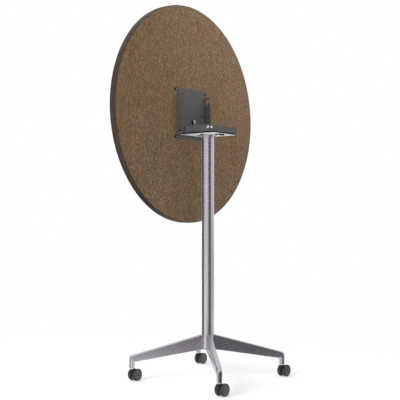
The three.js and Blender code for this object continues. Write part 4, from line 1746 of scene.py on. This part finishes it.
@dataclass
class Caster:
    """One swivel caster: a stem in the post, and a hood, axle and two wheels under it."""

    corner: Corner
    hood_ease: float = 0.6
    neck_radius: float = 7.25
    neck_play: float = 0.3  # between the neck and the pieces above and below it
    stem_radius: float = 5.5
    stem_soft: float = 0.6
    spigot_radius: float = 3.5
    axle_radius: float = 3.0
    axle_soft: float = 0.4
    cap_radius: float = 4.5
    cap: float = 1.2
    cap_rim: float = 0.4
    cap_crown: float = 0.8  # share of the cap's radius
    wheel_bore: float = 3.3
    wheel_soft: float = 1.6
    tread_round: float = 3.0
    tyre_inner: float = 20.6
    dish: float = 1.6
    dish_start: float = 0.6  # shares of the dish, in from the tread's shoulder
    dish_end: float = 1.6
    boss: float = 8.0
    boss_inner: float = 5.2
    boss_height: float = 0.9
    boss_foot: float = 1.0
    facets: int = 72

    @property
    def label(self) -> str:
        """Return the name that the CAD nodes use for this corner."""
        return self.corner.label

    def build(self) -> None:
        """Make the stem, hood, axle and both wheels."""
        self.build_stem()
        hood = f"caster_hood_{self.label}"
        made = eased_copy(hood, HOOD_PLASTIC, self.hood_ease)
        deliver(made, f"caster_{self.label}", Slot.BLACK_PLASTIC, hood)
        self.build_axle()
        for wheel in Wheel:
            self.build_wheel(wheel)

    def build_stem(self) -> None:
        """Turn the stem with its neck."""
        node = f"caster_stem_{self.label}"
        low, high = bounds_of(node)
        spot = middle_of(node)
        neck_low = bounds_of(f"caster_hood_{self.label}")[1].z + self.neck_play
        neck_high = bounds_of(f"leg_{self.label}")[0].z - self.neck_play
        profile = [
            (0, low.z),
            (self.spigot_radius, low.z),
            (self.spigot_radius, neck_low),
            (self.neck_radius, neck_low),
            (self.neck_radius, neck_high),
            (self.stem_radius, neck_high),
            (self.stem_radius, high.z),
            (0, high.z),
        ]
        stem = turned(profile, self.stem_soft, SHAFT_FACETS, Vector((spot.x, spot.y, 0)))
        dress(node, stem, ZINC, "base", Slot.ZINC)

    def build_axle(self) -> None:
        """Turn the axle with a domed cap on each end."""
        node = f"caster_axle_{self.label}"
        low, high = bounds_of(node)
        end = (high.y - low.y) / 2
        seat = end - self.cap
        half = [
            (self.axle_radius, seat),
            (self.cap_radius, seat),
            (self.cap_radius, seat + self.cap_rim),
            (self.cap_radius * self.cap_crown, end),
            (0, end),
        ]
        profile = [(radius, -height) for radius, height in reversed(half)] + half
        axle = turned(profile, self.axle_soft, FASTENER_FACETS, middle_of(node), Axis.BACK)
        dress(node, axle, PHOSPHATE, f"caster_{self.label}", Slot.BLACK_STEEL)

    def build_wheel(self, wheel: Wheel) -> None:
        """Turn one wheel: a tyre with rounded shoulders on a dished hub.

        Args:
            wheel: Which wheel.
        """
        node = f"caster_wheel_{self.label}_{wheel.label}"
        low, high = bounds_of(node)
        spot = middle_of(node)
        radius = (high.z - low.z) / 2
        middle = middle_of(f"caster_hood_{self.label}").y
        inner, outer = sorted((abs(low.y - middle), abs(high.y - middle)))
        tread = radius - self.tread_round
        face = outer - self.dish
        raised = face + self.boss_height
        profile = [
            (self.wheel_bore, inner),
            (tread, inner),
            (radius, inner + self.tread_round),
            (radius, outer - self.tread_round),
            (tread, outer),
            (tread - self.dish * self.dish_start, outer),
            (tread - self.dish * self.dish_end, face),
            (self.boss + self.boss_foot, face),
            (self.boss, raised),
            (self.boss_inner, raised),
            (self.boss_inner, face),
            (self.wheel_bore, face),
            (self.wheel_bore, inner),
        ]
        bm = revolve(softened(profile, self.wheel_soft), self.facets)
        for part in bm.faces:
            centre = part.calc_center_median()
            tyre = math.hypot(centre.x, centre.y) > self.tyre_inner * MM
            part.material_index = 0 if tyre else 1
        put(bm, Vector((spot.x, middle, spot.z)), wheel.value)
        made = flattened(as_object(f"{node}_dressed", bm, TYRE, HUB))
        deliver(made, f"wheel_{self.label}_{wheel.label}", Slot.TREAD, node)


# ----------------------------------------------------------------------------------------- studio


def aim(obj: Piece, place: Place, way: Vector) -> None:
    """Move a camera or a lamp to its place and turn it to look along a direction.

    Args:
        obj: The camera or lamp.
        place: Its place in metres.
        way: The direction.
    """
    obj.location = place
    obj.rotation_mode = "QUATERNION"
    obj.rotation_quaternion = way.to_track_quat("-Z", "Y")


@dataclass(frozen=True)
class Softbox:
    """One soft lamp: its place and size in metres, its power in watts, and whether it is a fill.

    A fill casts no shadows.
    """

    name: str
    place: Place
    size: float
    power: float
    fill: bool = False


@dataclass(frozen=True)
class Flag:
    """A dark card round the table, lying on the floor and turned up into a wall at its far edge.

    It spans degrees right of the camera and metres out from the column, and its wall has a height
    in metres.
    """

    name: str
    start: float
    end: float
    near: float = 0.34
    far: float = 4.2
    height: float = 4.0


@dataclass
class Studio:
    """The pale floor, the white surround, the lamps, the dark cards and the photograph's camera.

    Its places and distances are in metres.
    """

    camera_place: Place = (-2.551, -1.933, 0.701)
    camera_aim: Place = (0.7947, 0.607, 0.0)
    sensor: float = 36.0
    lens: float = 69.084
    shift: tuple[float, float] = (-0.0125, 0.0268)
    ambient: float = 0.5
    floor_half: float = 14.0
    floor_colour: str = "#F4F4F4"
    floor_glow: float = 0.05  # share of its own white that the camera sees near the table
    floor_fade: tuple[float, float] = (0.5, 1.6)  # distances over which it turns plain white
    lamp_aim: Place = (0.0, 0.0, 0.75)
    lamps: tuple[Softbox, ...] = (
        Softbox("left_softbox", (-4.0, 0.3, 2.2), size=3.0, power=150.0),
        Softbox("front_softbox", (0.6, -2.2, 1.9), size=3.4, power=7.0, fill=True),
        Softbox("upper_fill", (0.7, -0.8, 2.3), size=0.6, power=20.0, fill=True),
        Softbox("back_softbox", (0.6, 3.8, 2.9), size=2.4, power=60.0),
    )
    cloth_colour: str = "#202020"
    card_lift: float = 0.002
    card_steps: int = 12
    flags: tuple[Flag, ...] = (
        Flag("front_flag", 8.0, 59.0),
        Flag("rear_flag", -152.0, -81.0),
        Flag("floor_flag", -14.0, 7.9, near=0.45, far=1.2, height=0.01),
        Flag("left_front_flag", -34.0, -14.1, near=0.5, far=1.2, height=0.01),
        Flag("right_floor_flag", 62.0, 112.0, near=0.4, far=0.86, height=0.01),
        Flag("left_floor_flag", -130.0, -76.0, near=0.36, far=1.4, height=0.01),
        Flag("side_flag", -167.0, -161.0, near=0.36, far=1.6, height=0.01),
    )

    def build(self) -> None:
        """Set the camera, floor, surround, lamps and cards."""
        self.set_camera()
        self.lay_floor()
        self.light_world()
        for lamp in self.lamps:
            self.hang(lamp)
        for flag in self.flags:
            self.stand(flag)
        bpy.context.scene.view_settings.view_transform = "Standard"

    def set_camera(self) -> None:
        """Stand the level camera where the photograph was taken from."""
        data = bpy.data.cameras.new("photo_camera")
        data.sensor_width, data.lens = self.sensor, self.lens
        data.shift_x, data.shift_y = self.shift
        camera = linked("photo_camera", data)
        aim(camera, self.camera_place, Vector(self.camera_aim))
        bpy.context.scene.camera = camera

    def floor_paint(self) -> bpy.types.Material:
        """Make the floor's matt white paint, which keeps a shadow near the table.

        Returns:
            The material. To the camera it turns into the white of the surround further out.
        """
        paint = bpy.data.materials.new("white_studio_floor")
        tree = cleared(paint)
        matt = add_node(tree, "ShaderNodeBsdfDiffuse", {"Color": linear(self.floor_colour)})
        glow = add_node(tree, "ShaderNodeEmission", {"Color": WHITE, "Strength": 1.0})
        path = add_node(tree, "ShaderNodeLightPath")
        where = add_node(tree, "ShaderNodeTexCoord").outputs["Object"]
        far = add_node(tree, "ShaderNodeVectorMath", {0: where}, operation="LENGTH")
        fade = {
            "Value": far.outputs["Value"],
            "From Min": self.floor_fade[0],
            "From Max": self.floor_fade[1],
            "To Min": self.floor_glow,
            "To Max": 1.0,
        }
        share = add_node(tree, "ShaderNodeMapRange", fade)
        parts = {0: path.outputs["Is Camera Ray"], 1: share.outputs[0]}
        seen = add_node(tree, "ShaderNodeMath", parts, operation="MULTIPLY")
        both = {0: seen.outputs[0], 1: matt.outputs[0], 2: glow.outputs[0]}
        mixed = add_node(tree, "ShaderNodeMixShader", both)
        add_node(tree, "ShaderNodeOutputMaterial", {"Surface": mixed.outputs[0]})
        return paint

    def lay_floor(self) -> None:
        """Lay a plain pale floor that keeps a soft shadow."""
        bm = bmesh.new()
        bmesh.ops.create_grid(bm, x_segments=2, y_segments=2, size=self.floor_half)
        floor = linked("studio_floor", mesh_of("studio_floor", bm))
        floor.data.materials.append(self.floor_paint())

    def light_world(self) -> None:
        """Make the surround white to the camera and in metal, and a softer light on the object."""
        world = bpy.data.worlds.new("studio_surround")
        bpy.context.scene.world = world
        tree = cleared(world)
        path = add_node(tree, "ShaderNodeLightPath").outputs
        white = path["Is Camera Ray"]
        for ray in ("Is Glossy Ray", "Is Transmission Ray"):
            either = {0: white, 1: path[ray]}
            white = add_node(tree, "ShaderNodeMath", either, operation="MAXIMUM").outputs[0]
        level = {"Value": white, "To Min": self.ambient, "To Max": 1.0}
        strength = add_node(tree, "ShaderNodeMapRange", level).outputs[0]
        sky = add_node(tree, "ShaderNodeBackground", {"Color": WHITE, "Strength": strength})
        add_node(tree, "ShaderNodeOutputWorld", {"Surface": sky.outputs[0]})

    def hang(self, lamp: Softbox) -> None:
        """Hang one soft lamp, aimed at the table.

        Args:
            lamp: The lamp.
        """
        data = bpy.data.lights.new(lamp.name, "AREA")
        data.shape, data.size, data.energy = "SQUARE", lamp.size, lamp.power
        data.use_shadow = not lamp.fill
        made = linked(lamp.name, data)
        aim(made, lamp.place, Vector(self.lamp_aim) - Vector(lamp.place))
        made.visible_camera = False
        made.visible_glossy = False

    def flag_cloth(self) -> bpy.types.Material:
        """Return the cards' matt black cloth, made once.

        Returns:
            The material.
        """
        known = bpy.data.materials.get("black_flag_cloth")
        if known:
            return known
        cloth = bpy.data.materials.new("black_flag_cloth")
        tree = cleared(cloth)
        matt = add_node(tree, "ShaderNodeBsdfDiffuse", {"Color": linear(self.cloth_colour)})
        add_node(tree, "ShaderNodeOutputMaterial", {"Surface": matt.outputs[0]})
        return cloth

    def stand(self, flag: Flag) -> None:
        """Stand a dark curved card on the floor round the table, which only reflections see.

        Args:
            flag: The card.
        """
        back = math.atan2(-self.camera_aim[1], -self.camera_aim[0])
        bm = bmesh.new()
        rings = []
        for step in range(self.card_steps + 1):
            degrees = flag.start + (flag.end - flag.start) * step / self.card_steps
            angle = back + math.radians(degrees)
            way = Vector((math.cos(angle), math.sin(angle), 0.0))
            near, far = way * flag.near, way * flag.far
            path = ((near, self.card_lift), (far, self.card_lift), (far, flag.height))
            rings.append([bm.verts.new((p.x, p.y, z)) for p, z in path])
        for first, second in zip(rings, rings[1:]):
            for low in (0, 1):
                bm.faces.new((first[low], second[low], second[low + 1], first[low + 1]))
        card = linked(flag.name, mesh_of(flag.name, bm))
        card.data.materials.append(self.flag_cloth())
        for ray in ("camera", "diffuse", "transmission", "volume_scatter", "shadow"):
            setattr(card, f"visible_{ray}", False)


def write_sizes() -> None:
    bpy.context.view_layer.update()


def main() -> None:
    """Build every sub-assembly in order."""
    Studio().build()
    Tabletop().build()
    MountingBracket().build()
    FlipHinge().build()
    Tray().build()
    Latch().build()
    Column().build()
    for corner in Corner:
        Leg(corner).build()
        Caster(corner).build()
    write_sizes()


if __name__ == "__main__":
    main()
